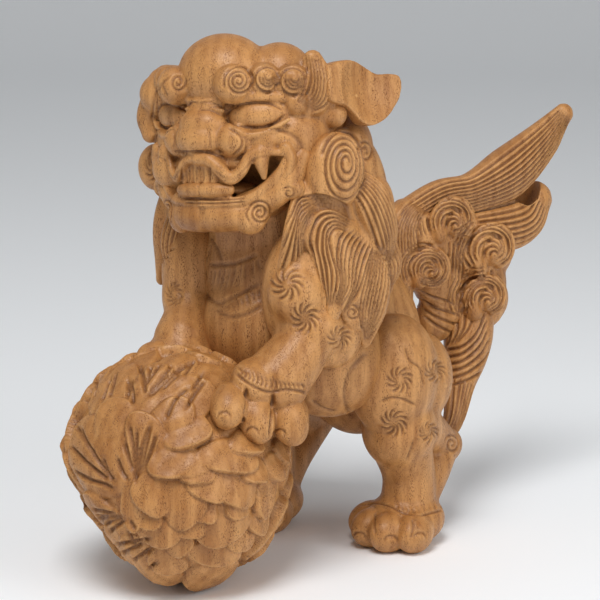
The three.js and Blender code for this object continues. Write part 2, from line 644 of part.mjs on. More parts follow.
const keepAboveGround = (piece) => piece.intersect(above(0));
const keepBelowNeck = (piece) => piece.subtract(above(NECK_JOINT_HEIGHT));
const keepAboveNeck = (piece) => piece.intersect(above(NECK_JOINT_HEIGHT + GLUE_GAP));
const asCarved = (piece) => piece;
const blocks = [
  ["peony_ball", ball, keepAboveGround],
  ["body", body, keepBelowNeck],
  ["head", head, keepAboveNeck],
  ["lower_jaw", jaw, asCarved],
  ["left_foreleg", leftForeleg.forms, asCarved],
  ["right_foreleg", rightForeleg.forms, asCarved],
  ["left_hind_leg", leftHind.forms, keepAboveGround],
  ["right_hind_leg", rightHind.forms, keepAboveGround],
  ["left_mane", mane(1), asCarved],
  ["right_mane", mane(-1), asCarved],
  ["nape_mane", napeMane(), asCarved],
  ["left_ear", ear(1), asCarved],
  ["right_ear", ear(-1), asCarved],
  ["tail", tailForms, asCarved],
  ["tail_flame", flame, asCarved],
  ["tail_rear_lock", rearLock, asCarved],
  ["tail_hanging_lock", hangingLock, asCarved],
];

// The largest body of a solid, without the crumbs that a cut leaves.
function wholeOf(piece) {
  return piece.decompose().reduce((a, b) => (a.volume() > b.volume() ? a : b));
}

const lion = new THREE.Group();
const earlier = [];
for (const [name, forms, plane] of blocks) {
  const carved = [...earlier, ...holes].reduce((piece, cut) => piece.subtract(cut), plane(solid(forms)));
  const wood = new THREE.MeshStandardMaterial({ color: 0xb27a48, roughness: 0.55, metalness: 0 });
  const mesh = new THREE.Mesh(toGeometry(wholeOf(carved)), wood);
  mesh.name = name;
  lion.add(mesh);
  earlier.push(plane(solid(forms, GLUE_GAP)));
}
for (const each of pins) {
  const dowelWood = new THREE.MeshStandardMaterial({ color: 0xc79a66, roughness: 0.7, metalness: 0 });
  const mesh = new THREE.Mesh(pinGeometry(each, 0), dowelWood);
  mesh.name = each.name;
  mesh.position.copy(each.centre);
  mesh.quaternion.copy(each.turn);
  lion.add(mesh);
}

// The figure stands with the middle of its box on the origin.
const box = new THREE.Box3().setFromObject(lion, true);
const middle = box.getCenter(new THREE.Vector3());
lion.position.set(-middle.x, -middle.y, -box.min.z);

const figure = new THREE.Group();
figure.add(lion);
export default figure;
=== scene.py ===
import json
import math
import bpy
import numpy as np
from mathutils import Matrix, Vector, noise


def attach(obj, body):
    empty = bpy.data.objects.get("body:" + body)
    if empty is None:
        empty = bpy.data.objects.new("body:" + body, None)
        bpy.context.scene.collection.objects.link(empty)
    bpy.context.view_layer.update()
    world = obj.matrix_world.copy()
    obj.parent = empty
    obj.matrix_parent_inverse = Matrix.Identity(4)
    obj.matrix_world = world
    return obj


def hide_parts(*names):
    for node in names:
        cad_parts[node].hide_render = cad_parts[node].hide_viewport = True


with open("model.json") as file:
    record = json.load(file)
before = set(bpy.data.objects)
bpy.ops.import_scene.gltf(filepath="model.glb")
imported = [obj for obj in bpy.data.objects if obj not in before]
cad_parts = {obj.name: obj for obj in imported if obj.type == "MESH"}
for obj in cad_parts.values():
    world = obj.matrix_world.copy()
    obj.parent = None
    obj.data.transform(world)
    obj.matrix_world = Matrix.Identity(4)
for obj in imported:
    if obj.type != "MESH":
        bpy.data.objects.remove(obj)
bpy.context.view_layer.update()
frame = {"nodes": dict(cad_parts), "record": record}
bpy.ops.object.select_all(action="DESELECT")

# Viewpoint and stage. The lion stands on a pale table, seen from its front left and a little above,
# under one large soft lamp with a weaker one to fill the shadows.
# Sizes are in mm from the place where the ball rests, which the record gives in metres.
MM = 0.001
ball_rest = np.array(next(m["pos_m"] for m in frame["record"]["mounts"] if m["name"] == "ball_base"))
VIEW_TURN, VIEW_RISE = math.radians(45.0), math.radians(12.0)
LOOK_AT = np.array([5.0, 63.0, 103.0])
VIEW_DISTANCE = 1000.0
LENS, SENSOR, PICTURE = 150.0, 36.0, 600
towards_eye = np.array([math.sin(VIEW_TURN) * math.cos(VIEW_RISE),
                        -math.cos(VIEW_TURN) * math.cos(VIEW_RISE), math.sin(VIEW_RISE)])
to_right = np.array([math.cos(VIEW_TURN), math.sin(VIEW_TURN), 0.0])
to_top = np.cross(towards_eye, to_right)
eye = LOOK_AT + towards_eye * VIEW_DISTANCE


def in_frame(points):
    return np.asarray(points, float) * MM + ball_rest


def on_bench(points):
    return (np.asarray(points, float) - ball_rest) / MM


camera = bpy.data.cameras.new("Camera")
camera.lens, camera.sensor_width = LENS, SENSOR
camera_stand = bpy.data.objects.new("Camera", camera)
camera_stand.matrix_world = Matrix.Translation(in_frame(eye)) @ Matrix(
    np.column_stack([to_right, to_top, towards_eye]).tolist()).to_4x4()
bpy.context.scene.collection.objects.link(camera_stand)
bpy.context.scene.camera = camera_stand
bpy.context.scene.view_settings.view_transform = "Standard"

TABLE_HALF, TABLE_RISE, TABLE_DEPTH = 3.0, 3.0, 1.6
SWEEP_RADIUS, SWEEP_TURNS = 0.8, np.linspace(0.1, 1.57, 12)
PAPER_COLOUR, PAPER_ROUGHNESS = (0.92, 0.94, 0.96, 1.0), 0.7
sweep_back = -towards_eye * np.array([1.0, 1.0, 0.0])
sweep_back /= np.linalg.norm(sweep_back)
table_rows = [(-TABLE_HALF, 0.0), (TABLE_DEPTH, 0.0)]
table_rows += [(TABLE_DEPTH + SWEEP_RADIUS * math.sin(turn), SWEEP_RADIUS - SWEEP_RADIUS * math.cos(turn))
               for turn in SWEEP_TURNS]
table_rows += [(TABLE_DEPTH + SWEEP_RADIUS, TABLE_RISE)]
table_points = [tuple(sweep_back * back + to_right * side * TABLE_HALF + np.array([0.0, 0.0, rise]))
                for back, rise in table_rows for side in (-1, 1)]
table_strips = [(2 * row, 2 * row + 1, 2 * row + 3, 2 * row + 2) for row in range(len(table_rows) - 1)]
table_mesh = bpy.data.meshes.new("table")
table_mesh.from_pydata(table_points, [], table_strips)
table_mesh.polygons.foreach_set("use_smooth", [True] * len(table_mesh.polygons))
table = bpy.data.objects.new("table", table_mesh)
bpy.context.scene.collection.objects.link(table)
table_paper = bpy.data.materials.new("table_paper")
table_paper.use_nodes = True
table_finish = table_paper.node_tree.nodes["Principled BSDF"]
table_finish.inputs["Base Color"].default_value = PAPER_COLOUR
table_finish.inputs["Roughness"].default_value = PAPER_ROUGHNESS
table_mesh.materials.append(table_paper)
ROOM_COLOUR, ROOM_STRENGTH = (0.90, 0.90, 0.90, 1.0), 0.35


# A soft lamp that faces the lion, placed by shares of the viewing distance.
def lamp(name, right, up, near, size, power):
    light = bpy.data.lights.new(name, "AREA")
    light.size, light.energy = size, power
    stand = bpy.data.objects.new(name, light)
    place = in_frame(LOOK_AT + (to_right * right + to_top * up + towards_eye * near) * VIEW_DISTANCE)
    stand.location = place
    stand.rotation_euler = Vector(place - in_frame(LOOK_AT)).to_track_quat("Z", "Y").to_euler()
    bpy.context.scene.collection.objects.link(stand)


lamp("key_lamp", right=-0.15, up=1.05, near=0.95, size=0.6, power=15.0)
lamp("fill_lamp", right=0.85, up=0.30, near=0.75, size=0.7, power=4.2)
room = bpy.data.worlds.new("room")
bpy.context.scene.world = room
room.use_nodes = True
room.node_tree.nodes["Background"].inputs["Color"].default_value = ROOM_COLOUR
room.node_tree.nodes["Background"].inputs["Strength"].default_value = ROOM_STRENGTH

# Peony ball. A solid ball of the same tan wood under the forepaws, carved all over: overlapping rounded
# petals on the right and below, broad leaves with scored veins on the left and top, a flat underneath.
FINE = 1.0
SMALL_LEVEL, LARGE_LEVEL, LARGE_HALF, RUB = 4, 5, 20.0, 0.5


def unit(vector):
    vector = np.asarray(vector, float)
    return vector / np.linalg.norm(vector)


# A smooth line through the points.
def curve(points, steps=6):
    p = np.asarray(points, float)
    p = np.vstack([2 * p[0] - p[1], p, 2 * p[-1] - p[-2]])
    t = np.linspace(0, 1, steps, endpoint=False)[:, None]
    runs = [b + 0.5 * t * (c - a + t * (2 * a - 5 * b + 4 * c - d + t * (3 * (b - c) + d - a)))
            for a, b, c, d in zip(p, p[1:], p[2:], p[3:])]
    return np.vstack(runs + [p[-2:-1]])


# A round blank of even facets, to be stretched into lumps.
def blank(level):
    bpy.ops.mesh.primitive_ico_sphere_add(subdivisions=level)
    ball = bpy.context.object
    points = np.array([v.co for v in ball.data.vertices])
    faces = [tuple(p.vertices) for p in ball.data.polygons]
    bpy.data.objects.remove(ball)
    return points / np.linalg.norm(points, axis=1)[:, None], faces


small_blank, large_blank = blank(SMALL_LEVEL), blank(LARGE_LEVEL)


# A lump: its middle, its half sizes, the way its height faces, the way its length points, how full it is.
def lump(at, size, out=(0, 0, 1), along=(1, 0, 0), full=1.0):
    size = np.ones(3) * size
    points, faces = large_blank if size.max() > LARGE_HALF else small_blank
    points = points * [1, 1, 0] + np.sign(points) * np.abs(points) ** full * [0, 0, 1]
    out = unit(out)
    along = np.asarray(along, float)
    along = unit(along - out * (along @ out))
    return np.asarray(at, float) + (points * size) @ np.array([along, np.cross(out, along), out]), faces


def mesh_of(piece):
    points = np.empty(len(piece.data.vertices) * 3)
    piece.data.vertices.foreach_get("co", points)
    return on_bench(points.reshape(-1, 3))


def put_back(piece, points):
    piece.data.vertices.foreach_set("co", in_frame(points).ravel())
    piece.data.update()
    bpy.context.view_layer.update()


# Joins forms, or forms and a piece made before, into one skin of even facets and rubs it smooth.
def shaped(name, forms, voxel, soften, onto=None):
    points, faces, start = [], [], 0
    if onto:
        forms = [(mesh_of(onto), [tuple(p.vertices) for p in onto.data.polygons])] + forms
        bpy.data.objects.remove(onto)
    for form_points, form_faces in forms:
        points.append(form_points)
        faces += [tuple(i + start for i in face) for face in form_faces]
        start += len(form_points)
    mesh = bpy.data.meshes.new(name)
    mesh.from_pydata(in_frame(np.vstack(points)).tolist(), [], faces)
    piece = bpy.data.objects.new(name, mesh)
    bpy.context.scene.collection.objects.link(piece)
    bpy.context.view_layer.objects.active = piece
    joined = piece.modifiers.new("Joined", "REMESH")
    joined.mode, joined.voxel_size = "VOXEL", voxel * MM * FINE
    worn = piece.modifiers.new("Worn", "SMOOTH")
    worn.factor, worn.iterations = RUB, max(1, round(soften / FINE))
    for modifier in ("Joined", "Worn"):
        bpy.ops.object.modifier_apply(modifier=modifier)
    piece.data.polygons.foreach_set("use_smooth", [True] * len(piece.data.polygons))
    bpy.context.view_layer.update()
    return piece


def sight(u, w):
    ray = to_right * (u - PICTURE / 2) + to_top * (PICTURE / 2 - w)
    return ray / (LENS / SENSOR * PICTURE) - towards_eye


# The surface, and the way it faces, where a piece shows at a pixel of the picture.
def seen_at(piece, pixel):
    hit, place, facing, _ = piece.ray_cast(Vector(in_frame(eye)), Vector(sight(*pixel)).normalized())
    return (on_bench(place), np.array(facing)) if hit else None


def drawn(piece, pixels, steps=6):
    hits = [seen_at(piece, pixel) for pixel in curve(pixels, steps)]
    return np.array([hit[0] for hit in hits if hit]).reshape(-1, 3)


def laid(piece, points):
    nearest = [piece.closest_point_on_mesh(Vector(in_frame(point)))[1] for point in points]
    return np.array([on_bench(place) for place in nearest]).reshape(-1, 3)


# A gouge. Each cut is a line with a width and a depth in mm, and the deepest cut at a place counts.
class Gouge:
    CHUNK, LEAP, FADE, SHALLOWEST, TINY = 6, 6.0, 1.6, 0.3, 1e-9
    COMB_REACH, FULL_CUT, RAISED = 0.88, 0.9, -0.6
    CLAW_ARC, CLAW_HALF, CLAW_CUT = np.radians(np.linspace(165, 375, 9)), (6.4, 5.4), (1.3, 0.8)
    CLAW_TIP, CLAW_RISE = [(-2, 1), (0, 1.4), (2, 1)], (4.6, -1.1)

    def __init__(self, piece):
        self.piece = piece
        self.points = mesh_of(piece)
        facing = np.empty(len(self.points) * 3)
        piece.data.vertex_normals.foreach_get("vector", facing)
        self.facing = facing.reshape(-1, 3)
        self.depth = np.zeros(len(self.points))
        self.lines = []

    def line(self, path, width, depth):
        if len(path) < 2:
            return
        self.lines.append((path, width, depth))
        steps = np.linalg.norm(np.diff(path, axis=0), axis=1)
        run = np.concatenate([[0], np.cumsum(steps)])
        for start in range(0, len(path) - 1, self.CHUNK):
            part = path[start:start + self.CHUNK + 1]
            inside = (self.points > part.min(0) - width) & (self.points < part.max(0) + width)
            near = np.flatnonzero(inside.all(1))
            if not len(near):
                continue
            step = np.diff(part, axis=0)
            length = np.maximum((step ** 2).sum(1), self.TINY)
            away = self.points[near][:, None] - part[:-1]
            share = np.clip((away * step).sum(2) / length, 0, 1)
            gap = np.linalg.norm(away - share[..., None] * step, axis=2)
            gap[:, length > self.LEAP ** 2] = width
            closest = gap.argmin(1)
            rows = np.arange(len(near))
            along = run[start + closest] + share[rows, closest] * np.sqrt(length[closest])
            fade = np.clip(np.minimum(along, run[-1] - along) / self.FADE, self.SHALLOWEST, 1)
            cut = depth * fade * np.maximum(0, 1 - gap[rows, closest] / (width / 2))
            deeper = np.abs(cut) > np.abs(self.depth[near])
            self.depth[near[deeper]] = cut[deeper]

    def draw(self, pixels, width, depth, steps=6):
        self.line(drawn(self.piece, pixels, steps), width, depth)

    def lay(self, points, width, depth):
        self.line(laid(self.piece, points), width, depth)

    def comb(self, points, radii, thin, side, count, width=1.7, depth=1.0, faces=(-1, 1)):
        line, sizes, ahead = sized_line(points, radii, steps=6)
        flat, broad = square_to(ahead, side)
        for share in np.linspace(-self.COMB_REACH, self.COMB_REACH, count):
            for face in faces:
                rise = face * thin * math.sqrt(1 - share * share)
                self.lay(line + sizes[:, None] * (broad * share + flat * rise), width, depth)

    def fill(self, first, last, count, cut, steps=3, points=14):
        for strand in between(first, last, count, points):
            self.draw(strand, *cut, steps=steps)

    def fringe(self, top_edge, foot_edge, count, cut, bend=(0, 0)):
        for top, foot in zip(evenly(top_edge, count), evenly(foot_edge, count)):
            self.draw([top, (top + foot) / 2 + bend, foot], *cut, steps=3)

    def claw(self, pixel):
        arc = np.column_stack([np.cos(self.CLAW_ARC), np.sin(self.CLAW_ARC)]) * self.CLAW_HALF
        self.draw(np.asarray(pixel) + arc, *self.CLAW_CUT, steps=2)
        self.draw(np.asarray(pixel) + self.CLAW_TIP, *self.CLAW_RISE, steps=2)

    def repeat(self, lines, place):
        for path, width, depth in list(lines):
            self.lay(place(path), width, depth)

    def finish(self):
        put_back(self.piece, self.points - self.facing * self.depth[:, None])
        # The cut attribute carries painted shade: the material darkens the wood by it in deep grooves.
        cut_shade_mark = self.piece.data.attributes.new("cut", "FLOAT", "POINT")
        shade = np.clip(self.depth / self.FULL_CUT, self.RAISED, 1)
        cut_shade_mark.data.foreach_set("value", shade.astype(np.float32))


# The wood's marks per metre, across and along the block, and where the block lies in the tree.
STREAKS_PER_M, CLOUDS_PER_M, RINGS_PER_M = (260.0, 260.0, 22.0), (24.0, 24.0, 12.0), 62.0
TREE_HEART, RING_WAVER, RING_DETAIL, RING_DETAIL_SIZE = (0.05, 0.11, 0.0), 9.0, 3.0, 0.25
# The detail and the roughness of each mark's texture.
STREAK_NOISE, CLOUD_NOISE, PORE_NOISE, PORE_LENGTH = (5.0, 0.65), (2.0, 0.5), (1.0, 0.5), 3
# Where in its texture each mark begins, and where it is full.
STREAK_RANGE, CLOUD_RANGE, RING_RANGE, PORE_RANGE = (0.36, 0.72), (0.45, 0.9), (0.2, 0.9), (0.56, 0.68)
# The hollow range reads the surface's pointiness to paint shade into hollows; the edge range reads it to
# paint highlight and rubbed wear onto ridges.
HOLLOW_SHADE_RANGE, EDGE_WEAR_AND_HIGHLIGHT_RANGE, DENT_RANGE = (0.50, 0.42), (0.52, 0.60), (0.2, 0.9)
# The places of the two colours among a Mix node's inputs, and of the mixed one among its outputs.
MIX_UNDER, MIX_OVER, MIX_RESULT = 6, 7, 2
# How strongly each mark colours the wood, the painted shade and painted highlight among them.
RING_SHARE, TONE_SHARE, LATE_PORES, END_GRAIN_AND_TOP_SHADE_FALL, END_GRAIN_AND_TOP_SHADE_SHARE = 0.14, 0.8, 0.6, 1.5, 0.6
PORE_SHARE, HOLLOW_SHADE_SHARE, EDGE_WEAR_AND_HIGHLIGHT_SHARE, CUT_SHADE_SHARE = 0.75, 0.6, 0.6, 0.40
SHEEN, ROUGHNESS, PORE_ROUGHNESS, DENT_STRENGTH, DENT_DEPTH = 0.45, 0.42, 0.25, 0.5, 0.0003


def wood(name, light, dark, pore, groove_shade, ridge_wear_and_highlight, pores_per_m):
    material = bpy.data.materials.new(name)
    material.use_nodes = True
    nodes, links = material.node_tree.nodes, material.node_tree.links
    finish = nodes["Principled BSDF"]

    def node(kind, **settings):
        made = nodes.new(kind)
        for key, value in settings.items():
            setattr(made, key, value)
        return made

    def link(source, output, target, entry):
        links.new(source.outputs[output], target.inputs[entry])

    def grain(scale, detail, rough):
        spread = node("ShaderNodeMapping")
        spread.inputs["Scale"].default_value = scale
        link(coords, "Object", spread, "Vector")
        texture = node("ShaderNodeTexNoise")
        texture.inputs["Scale"].default_value = 1.0
        texture.inputs["Detail"].default_value = detail
        texture.inputs["Roughness"].default_value = rough
        link(spread, "Vector", texture, "Vector")
        return texture

    def ramp(source, output, limits):
        made = node("ShaderNodeMapRange")
        made.inputs["From Min"].default_value, made.inputs["From Max"].default_value = limits
        link(source, output, made, "Value")
        return made.outputs[0]

    def math_node(kind, first, second):
        made = node("ShaderNodeMath", operation=kind)
        links.new(first, made.inputs[0])
        if isinstance(second, float):
            made.inputs[1].default_value = second
        else:
            links.new(second, made.inputs[1])
        return made.outputs[0]

    def blend(share, under, over):
        made = node("ShaderNodeMix", data_type="RGBA")
        links.new(share, made.inputs["Factor"])
        for entry, value in ((MIX_UNDER, under), (MIX_OVER, over)):
            if isinstance(value, tuple):
                made.inputs[entry].default_value = (*value, 1.0)
            else:
                links.new(value, made.inputs[entry])
        return made.outputs[MIX_RESULT]

    coords = node("ShaderNodeTexCoord")
    streaks = grain(STREAKS_PER_M, *STREAK_NOISE)
    clouds = grain(CLOUDS_PER_M, *CLOUD_NOISE)
    pores = grain((pores_per_m, pores_per_m, pores_per_m / PORE_LENGTH), *PORE_NOISE)
    ring_place = node("ShaderNodeMapping")
    ring_place.inputs["Location"].default_value = TREE_HEART
    link(coords, "Object", ring_place, "Vector")
    rings = node("ShaderNodeTexWave", wave_type="RINGS", rings_direction="Z")
    for entry, value in (("Scale", RINGS_PER_M), ("Distortion", RING_WAVER), ("Detail", RING_DETAIL),
                         ("Detail Scale", RING_DETAIL_SIZE)):
        rings.inputs[entry].default_value = value
    link(ring_place, "Vector", rings, "Vector")
    early = ramp(rings, "Fac", RING_RANGE)
    pits = math_node("MULTIPLY", ramp(pores, "Fac", PORE_RANGE), math_node("ADD", early, LATE_PORES))
    tone = math_node("ADD", ramp(streaks, "Fac", STREAK_RANGE), math_node("MULTIPLY", early, RING_SHARE))
    tone = math_node("ADD", tone, ramp(clouds, "Fac", CLOUD_RANGE))
    # Upward faces are darkened: partly the end grain of the upright block, partly painted shade on the tops.
    surface = node("ShaderNodeNewGeometry")
    facing = node("ShaderNodeSeparateXYZ")
    link(surface, "Normal", facing, "Vector")
    end_grain_and_top_shade = math_node("POWER", math_node("MAXIMUM", facing.outputs["Z"], 0.0), END_GRAIN_AND_TOP_SHADE_FALL)
    # Painted shade in the carved grooves, read from the cut attribute.
    cut_shade_mark = node("ShaderNodeAttribute", attribute_name="cut")
    colour = light
    for share, strength, over in (
            (tone, TONE_SHARE, dark), (end_grain_and_top_shade, END_GRAIN_AND_TOP_SHADE_SHARE, dark), (pits, PORE_SHARE, pore),
            # Painted shade in the hollows, in the groove shade colour.
            (ramp(surface, "Pointiness", HOLLOW_SHADE_RANGE), HOLLOW_SHADE_SHARE, groove_shade),
            # Ridges lightened: partly rubbed wear, partly painted highlight.
            (ramp(surface, "Pointiness", EDGE_WEAR_AND_HIGHLIGHT_RANGE), EDGE_WEAR_AND_HIGHLIGHT_SHARE, ridge_wear_and_highlight),
            # Painted shade in the cut grooves, in the groove shade colour.
            (math_node("MAXIMUM", cut_shade_mark.outputs["Fac"], 0.0), CUT_SHADE_SHARE, groove_shade)):
        colour = blend(math_node("MULTIPLY", share, strength), colour, over)
    links.new(colour, finish.inputs["Base Color"])
    finish.inputs["Specular IOR Level"].default_value = SHEEN
    rough = math_node("ADD", math_node("MULTIPLY", pits, PORE_ROUGHNESS), ROUGHNESS)
    links.new(rough, finish.inputs["Roughness"])
    dents = node("ShaderNodeBump", invert=True)
    dents.inputs["Strength"].default_value = DENT_STRENGTH
    dents.inputs["Distance"].default_value = DENT_DEPTH
    links.new(math_node("ADD", pits, ramp(streaks, "Fac", DENT_RANGE)), dents.inputs["Height"])
    link(dents, "Normal", finish, "Normal")
    return material


carved_wood = wood(
    "carved_wood", light=(0.64, 0.322, 0.108), dark=(0.34, 0.136, 0.032), pore=(0.18, 0.064, 0.017),
    groove_shade=(0.13, 0.045, 0.012), ridge_wear_and_highlight=(0.70, 0.385, 0.140), pores_per_m=3600.0)

BALL_CENTRE, BALL_HALF = np.array([0.0, 0.0, 44.6]), np.array([41.2, 41.2, 44.6])
# Each petal: its middle in the picture, half length and half width in mm, heading of its free edge.
SEEN_PETALS = [
    (182, 502, 8.1, 7.1, 65), (155, 492, 7.0, 7.2, 115), (178, 462, 5.4, 10.0, 90), (229, 456, 5.8, 11.2, 92),
    (210, 483, 5.8, 7.8, 100), (237, 487, 6.6, 7.8, 115), (264, 492, 8.0, 5.6, 125), (272, 466, 4.8, 6.0, 80),
    (288, 491, 5.6, 4.4, 75), (204, 509, 3.8, 4.4, 90), (221, 521, 7.4, 10.6, 85), (257, 518, 4.6, 5.8, 95),
    (285, 517, 5.4, 5.4, 60), (270, 533, 4.6, 9.6, 112), (161, 527, 5.8, 7.6, 70), (178, 540, 4.2, 4.8, 60),
    (133, 506, 7.6, 3.8, 92), (217, 549, 4.6, 10.2, 90), (212, 572, 7.0, 11.0, 90), (188, 433, 5.2, 8.0, 60),
    (278, 451, 4.4, 5.8, 80), (291, 462, 6.0, 3.2, 85), (168, 558, 4.6, 7.0, 120), (245, 443, 4.4, 7.0, 90),
    (150, 515, 4.0, 4.6, 80), (236, 505, 4.0, 5.0, 100), (196, 471, 4.2, 6.0, 100), (252, 470, 4.4, 6.0, 95),
    (292, 503, 5.0, 4.0, 70), (240, 536, 4.0, 6.4, 100), (190, 522, 4.6, 5.4, 80), (254, 558, 8.0, 6.6, 58)]
# Each leaf the same way, lying flatter.
SEEN_LEAVES = [
    (112, 390, 12.0, 11.0, 235), (99, 458, 16.0, 12.0, 200), (107, 518, 10.0, 8.0, 190),
    (139, 555, 7.0, 9.5, 160), (153, 392, 11.0, 8.0, 280), (187, 400, 9.0, 9.0, 300),
    (146, 440, 9.0, 6.5, 250), (172, 422, 8.0, 7.0, 300), (119, 425, 9.0, 9.0, 215),
    (124, 540, 7.0, 8.0, 150), (160, 570, 6.0, 9.0, 120), (205, 383, 9.0, 6.5, 310),
    (172, 372, 9.0, 6.5, 290), (200, 366, 8.0, 6.0, 300), (222, 374, 8.0, 6.0, 320),
    (140, 366, 7.0, 6.0, 260)]
PETAL_HIGH, LEAF_HIGH = 4.8, 3.8
SQUARENESS, RIM_SHARE, ROOT_SHARE, CROWN_FALL = 2.4, 0.10, 0.15, 0.25
LOBE_COUNT, LOBE_SHARE, SCALE_REACH = 3, 0.07, 1.2


def way_in_picture(heading):
    turn = math.radians(heading)
    return to_right * math.cos(turn) - to_top * math.sin(turn)


# Raises one petal or leaf, which is lowest at its root and ends in a steep free edge.
def lay_scale(heights, points, at, out, heading, half_length, half_width, high):
    heading = unit(heading - out * (heading @ out))
    away = points - at
    near = np.flatnonzero(np.abs(away).max(1) < SCALE_REACH * max(half_length, half_width))
    ahead = away[near] @ heading / half_length
    aside = away[near] @ np.cross(out, heading) / half_width
    reach = (np.abs(ahead) ** SQUARENESS + np.abs(aside) ** SQUARENESS) ** (1 / SQUARENESS)
    reach = reach * (1 + LOBE_SHARE * np.cos(LOBE_COUNT * np.arctan2(aside, ahead) + at.sum()))
    edge = np.clip((1 - reach) / RIM_SHARE, 0, 1)
    slope = ROOT_SHARE + (1 - ROOT_SHARE) * (ahead + 1) / 2
    crown = 1 - CROWN_FALL * aside ** 2
    heights[near] = np.maximum(heights[near], high * slope * crown * edge * (2 - edge))


# Planes the flat that a block stands on.
def plane_underneath(piece):
    points = mesh_of(piece)
    points[:, 2] = np.maximum(points[:, 2], 0.0)
    put_back(piece, points)


ball = shaped("carved_peony_ball", [lump(BALL_CENTRE, BALL_HALF)], voxel=0.64, soften=2)
SHAVED_SIDE, SHAVE_FROM, SHAVE_SHARE = unit(-0.80 * to_right - 0.60 * to_top), 0.68, 0.62
points = mesh_of(ball)
over = np.maximum((points - BALL_CENTRE) / BALL_HALF @ SHAVED_SIDE - SHAVE_FROM, 0)
put_back(ball, points - np.outer(over * SHAVE_SHARE, SHAVED_SIDE * BALL_HALF))
points = mesh_of(ball)
heights = np.zeros(len(points))
GROW = 1.18
for scales, high in ((SEEN_PETALS, PETAL_HIGH), (SEEN_LEAVES, LEAF_HIGH)):
    for u, w, half_length, half_width, heading in scales:
        found = seen_at(ball, (u, w))
        if found:
            lay_scale(heights, points, *found, way_in_picture(heading),
                      half_length * GROW, half_width * GROW, high)
HIDDEN_SCALES, IN_SIGHT, FOOT_CLEAR = 150, 0.16, -0.8
HIDDEN_HALF_LENGTH, HIDDEN_HALF_WIDTH = 8.6, 9.4
BLOSSOM_AXIS, GOLDEN_TURN = unit([-0.35, 0.35, -0.5]), math.pi * (3 - math.sqrt(5))
for step in range(HIDDEN_SCALES):
    rise = 1 - 2 * (step + 0.5) / HIDDEN_SCALES
    level = math.sqrt(1 - rise * rise)
    ray = np.array([math.cos(step * GOLDEN_TURN) * level, math.sin(step * GOLDEN_TURN) * level, rise])
    if ray @ towards_eye < IN_SIGHT and rise > FOOT_CLEAR:
        at = laid(ball, [BALL_CENTRE + ray * BALL_HALF])[0]
        lay_scale(heights, points, at, ray, ray - BLOSSOM_AXIS,
                  HIDDEN_HALF_LENGTH, HIDDEN_HALF_WIDTH, PETAL_HIGH)
FACET_SIZE, FACET_DEPTH = 5.0, 0.6
heights += [FACET_DEPTH * noise.noise(Vector(place / FACET_SIZE)) for place in points]
outward = points - BALL_CENTRE
outward /= np.linalg.norm(outward, axis=1)[:, None]
put_back(ball, points + outward * heights[:, None])
ball_cuts = Gouge(ball)
VEIN_CUT = (2.4, 1.7)
# Each scored vein, in the picture.
VEINS = [
    [(102, 457), (108, 474), (115, 481)], [(116, 457), (122, 472), (128, 481)],
    [(124, 442), (129, 460), (133, 472)], [(129, 425), (133, 450), (135, 478)],
    [(136, 430), (136, 450), (136, 482)], [(141, 445), (139, 460), (138, 476)],
    [(150, 425), (144, 440), (138, 466)], [(80, 427), (86, 442), (95, 455)],
    [(99, 482), (106, 486), (114, 489)], [(90, 516), (105, 517), (123, 517)],
    [(92, 509), (103, 512), (116, 515)], [(98, 526), (109, 523), (124, 518)],
    [(109, 532), (117, 526), (125, 520)], [(128, 519), (132, 525), (136, 531)],
    [(79, 498), (83, 503), (87, 508)], [(111, 377), (106, 388), (102, 401)],
    [(116, 372), (113, 384), (109, 398)], [(128, 378), (128, 388), (128, 398)],
    [(130, 379), (132, 392), (133, 404)], [(152, 365), (148, 374), (145, 386)],
    [(160, 364), (152, 374), (144, 385)], [(170, 372), (158, 382), (146, 396)],
    [(178, 374), (170, 381), (161, 390)], [(188, 387), (175, 399), (166, 418)],
    [(195, 359), (190, 366), (185, 374)], [(116, 545), (132, 542), (150, 539)],
    [(119, 555), (130, 550), (144, 543)], [(133, 561), (142, 555), (151, 548)],
    [(128, 531), (132, 540), (136, 548)], [(148, 570), (153, 566), (157, 562)],
    [(92, 388), (90, 396), (88, 404)], [(97, 380), (96, 388), (93, 398)],
    [(203, 372), (198, 380), (192, 390)], [(66, 410), (82, 436), (100, 464), (114, 482)],
    [(70, 446), (88, 464), (108, 480)], [(72, 470), (90, 480), (110, 486)],
    [(88, 520), (104, 519), (122, 518)], [(150, 424), (146, 446), (139, 474)],
    [(156, 434), (150, 452), (141, 472)], [(140, 366), (143, 378), (145, 394)],
    [(182, 366), (166, 380), (150, 396)], [(205, 380), (196, 392), (186, 408)],
    [(244, 575), (246, 566), (249, 556)], [(250, 577), (251, 567), (252, 557)],
    [(256, 575), (256, 566), (255, 557)], [(261, 570), (259, 562), (257, 556)],
    [(146, 397), (168, 378), (193, 361)], [(152, 390), (161, 377), (171, 366)]]
for vein in VEINS:
    ball_cuts.draw(vein, *VEIN_CUT)
ball_cuts.finish()
plane_underneath(ball)
ball.data.materials.append(carved_wood)
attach(ball, "root")
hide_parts("peony_ball")

# Body. The largest block of the wood: chest, waist and rump carved as one smooth barrel, with a bib of fine
# chest lines in front and the flank folds scored in. Head, legs and tail are dowelled onto it.
THINNEST, END_CAPS, OUTWARD = 0.3, np.radians([88, 60, 30]), (1, 0, 0.001)


def sized_line(points, radii, steps):
    line = curve(points, steps)
    sizes = np.maximum(curve(np.asarray(radii, float)[:, None], steps)[:, 0], THINNEST)
    ahead = np.gradient(line, axis=0)
    return line, sizes, ahead / np.linalg.norm(ahead, axis=1)[:, None]


def square_to(ahead, side):
    flat = np.asarray(side, float) - ahead * (ahead @ np.asarray(side, float))[:, None]
    flat /= np.linalg.norm(flat, axis=1)[:, None]
    return flat, np.cross(ahead, flat)


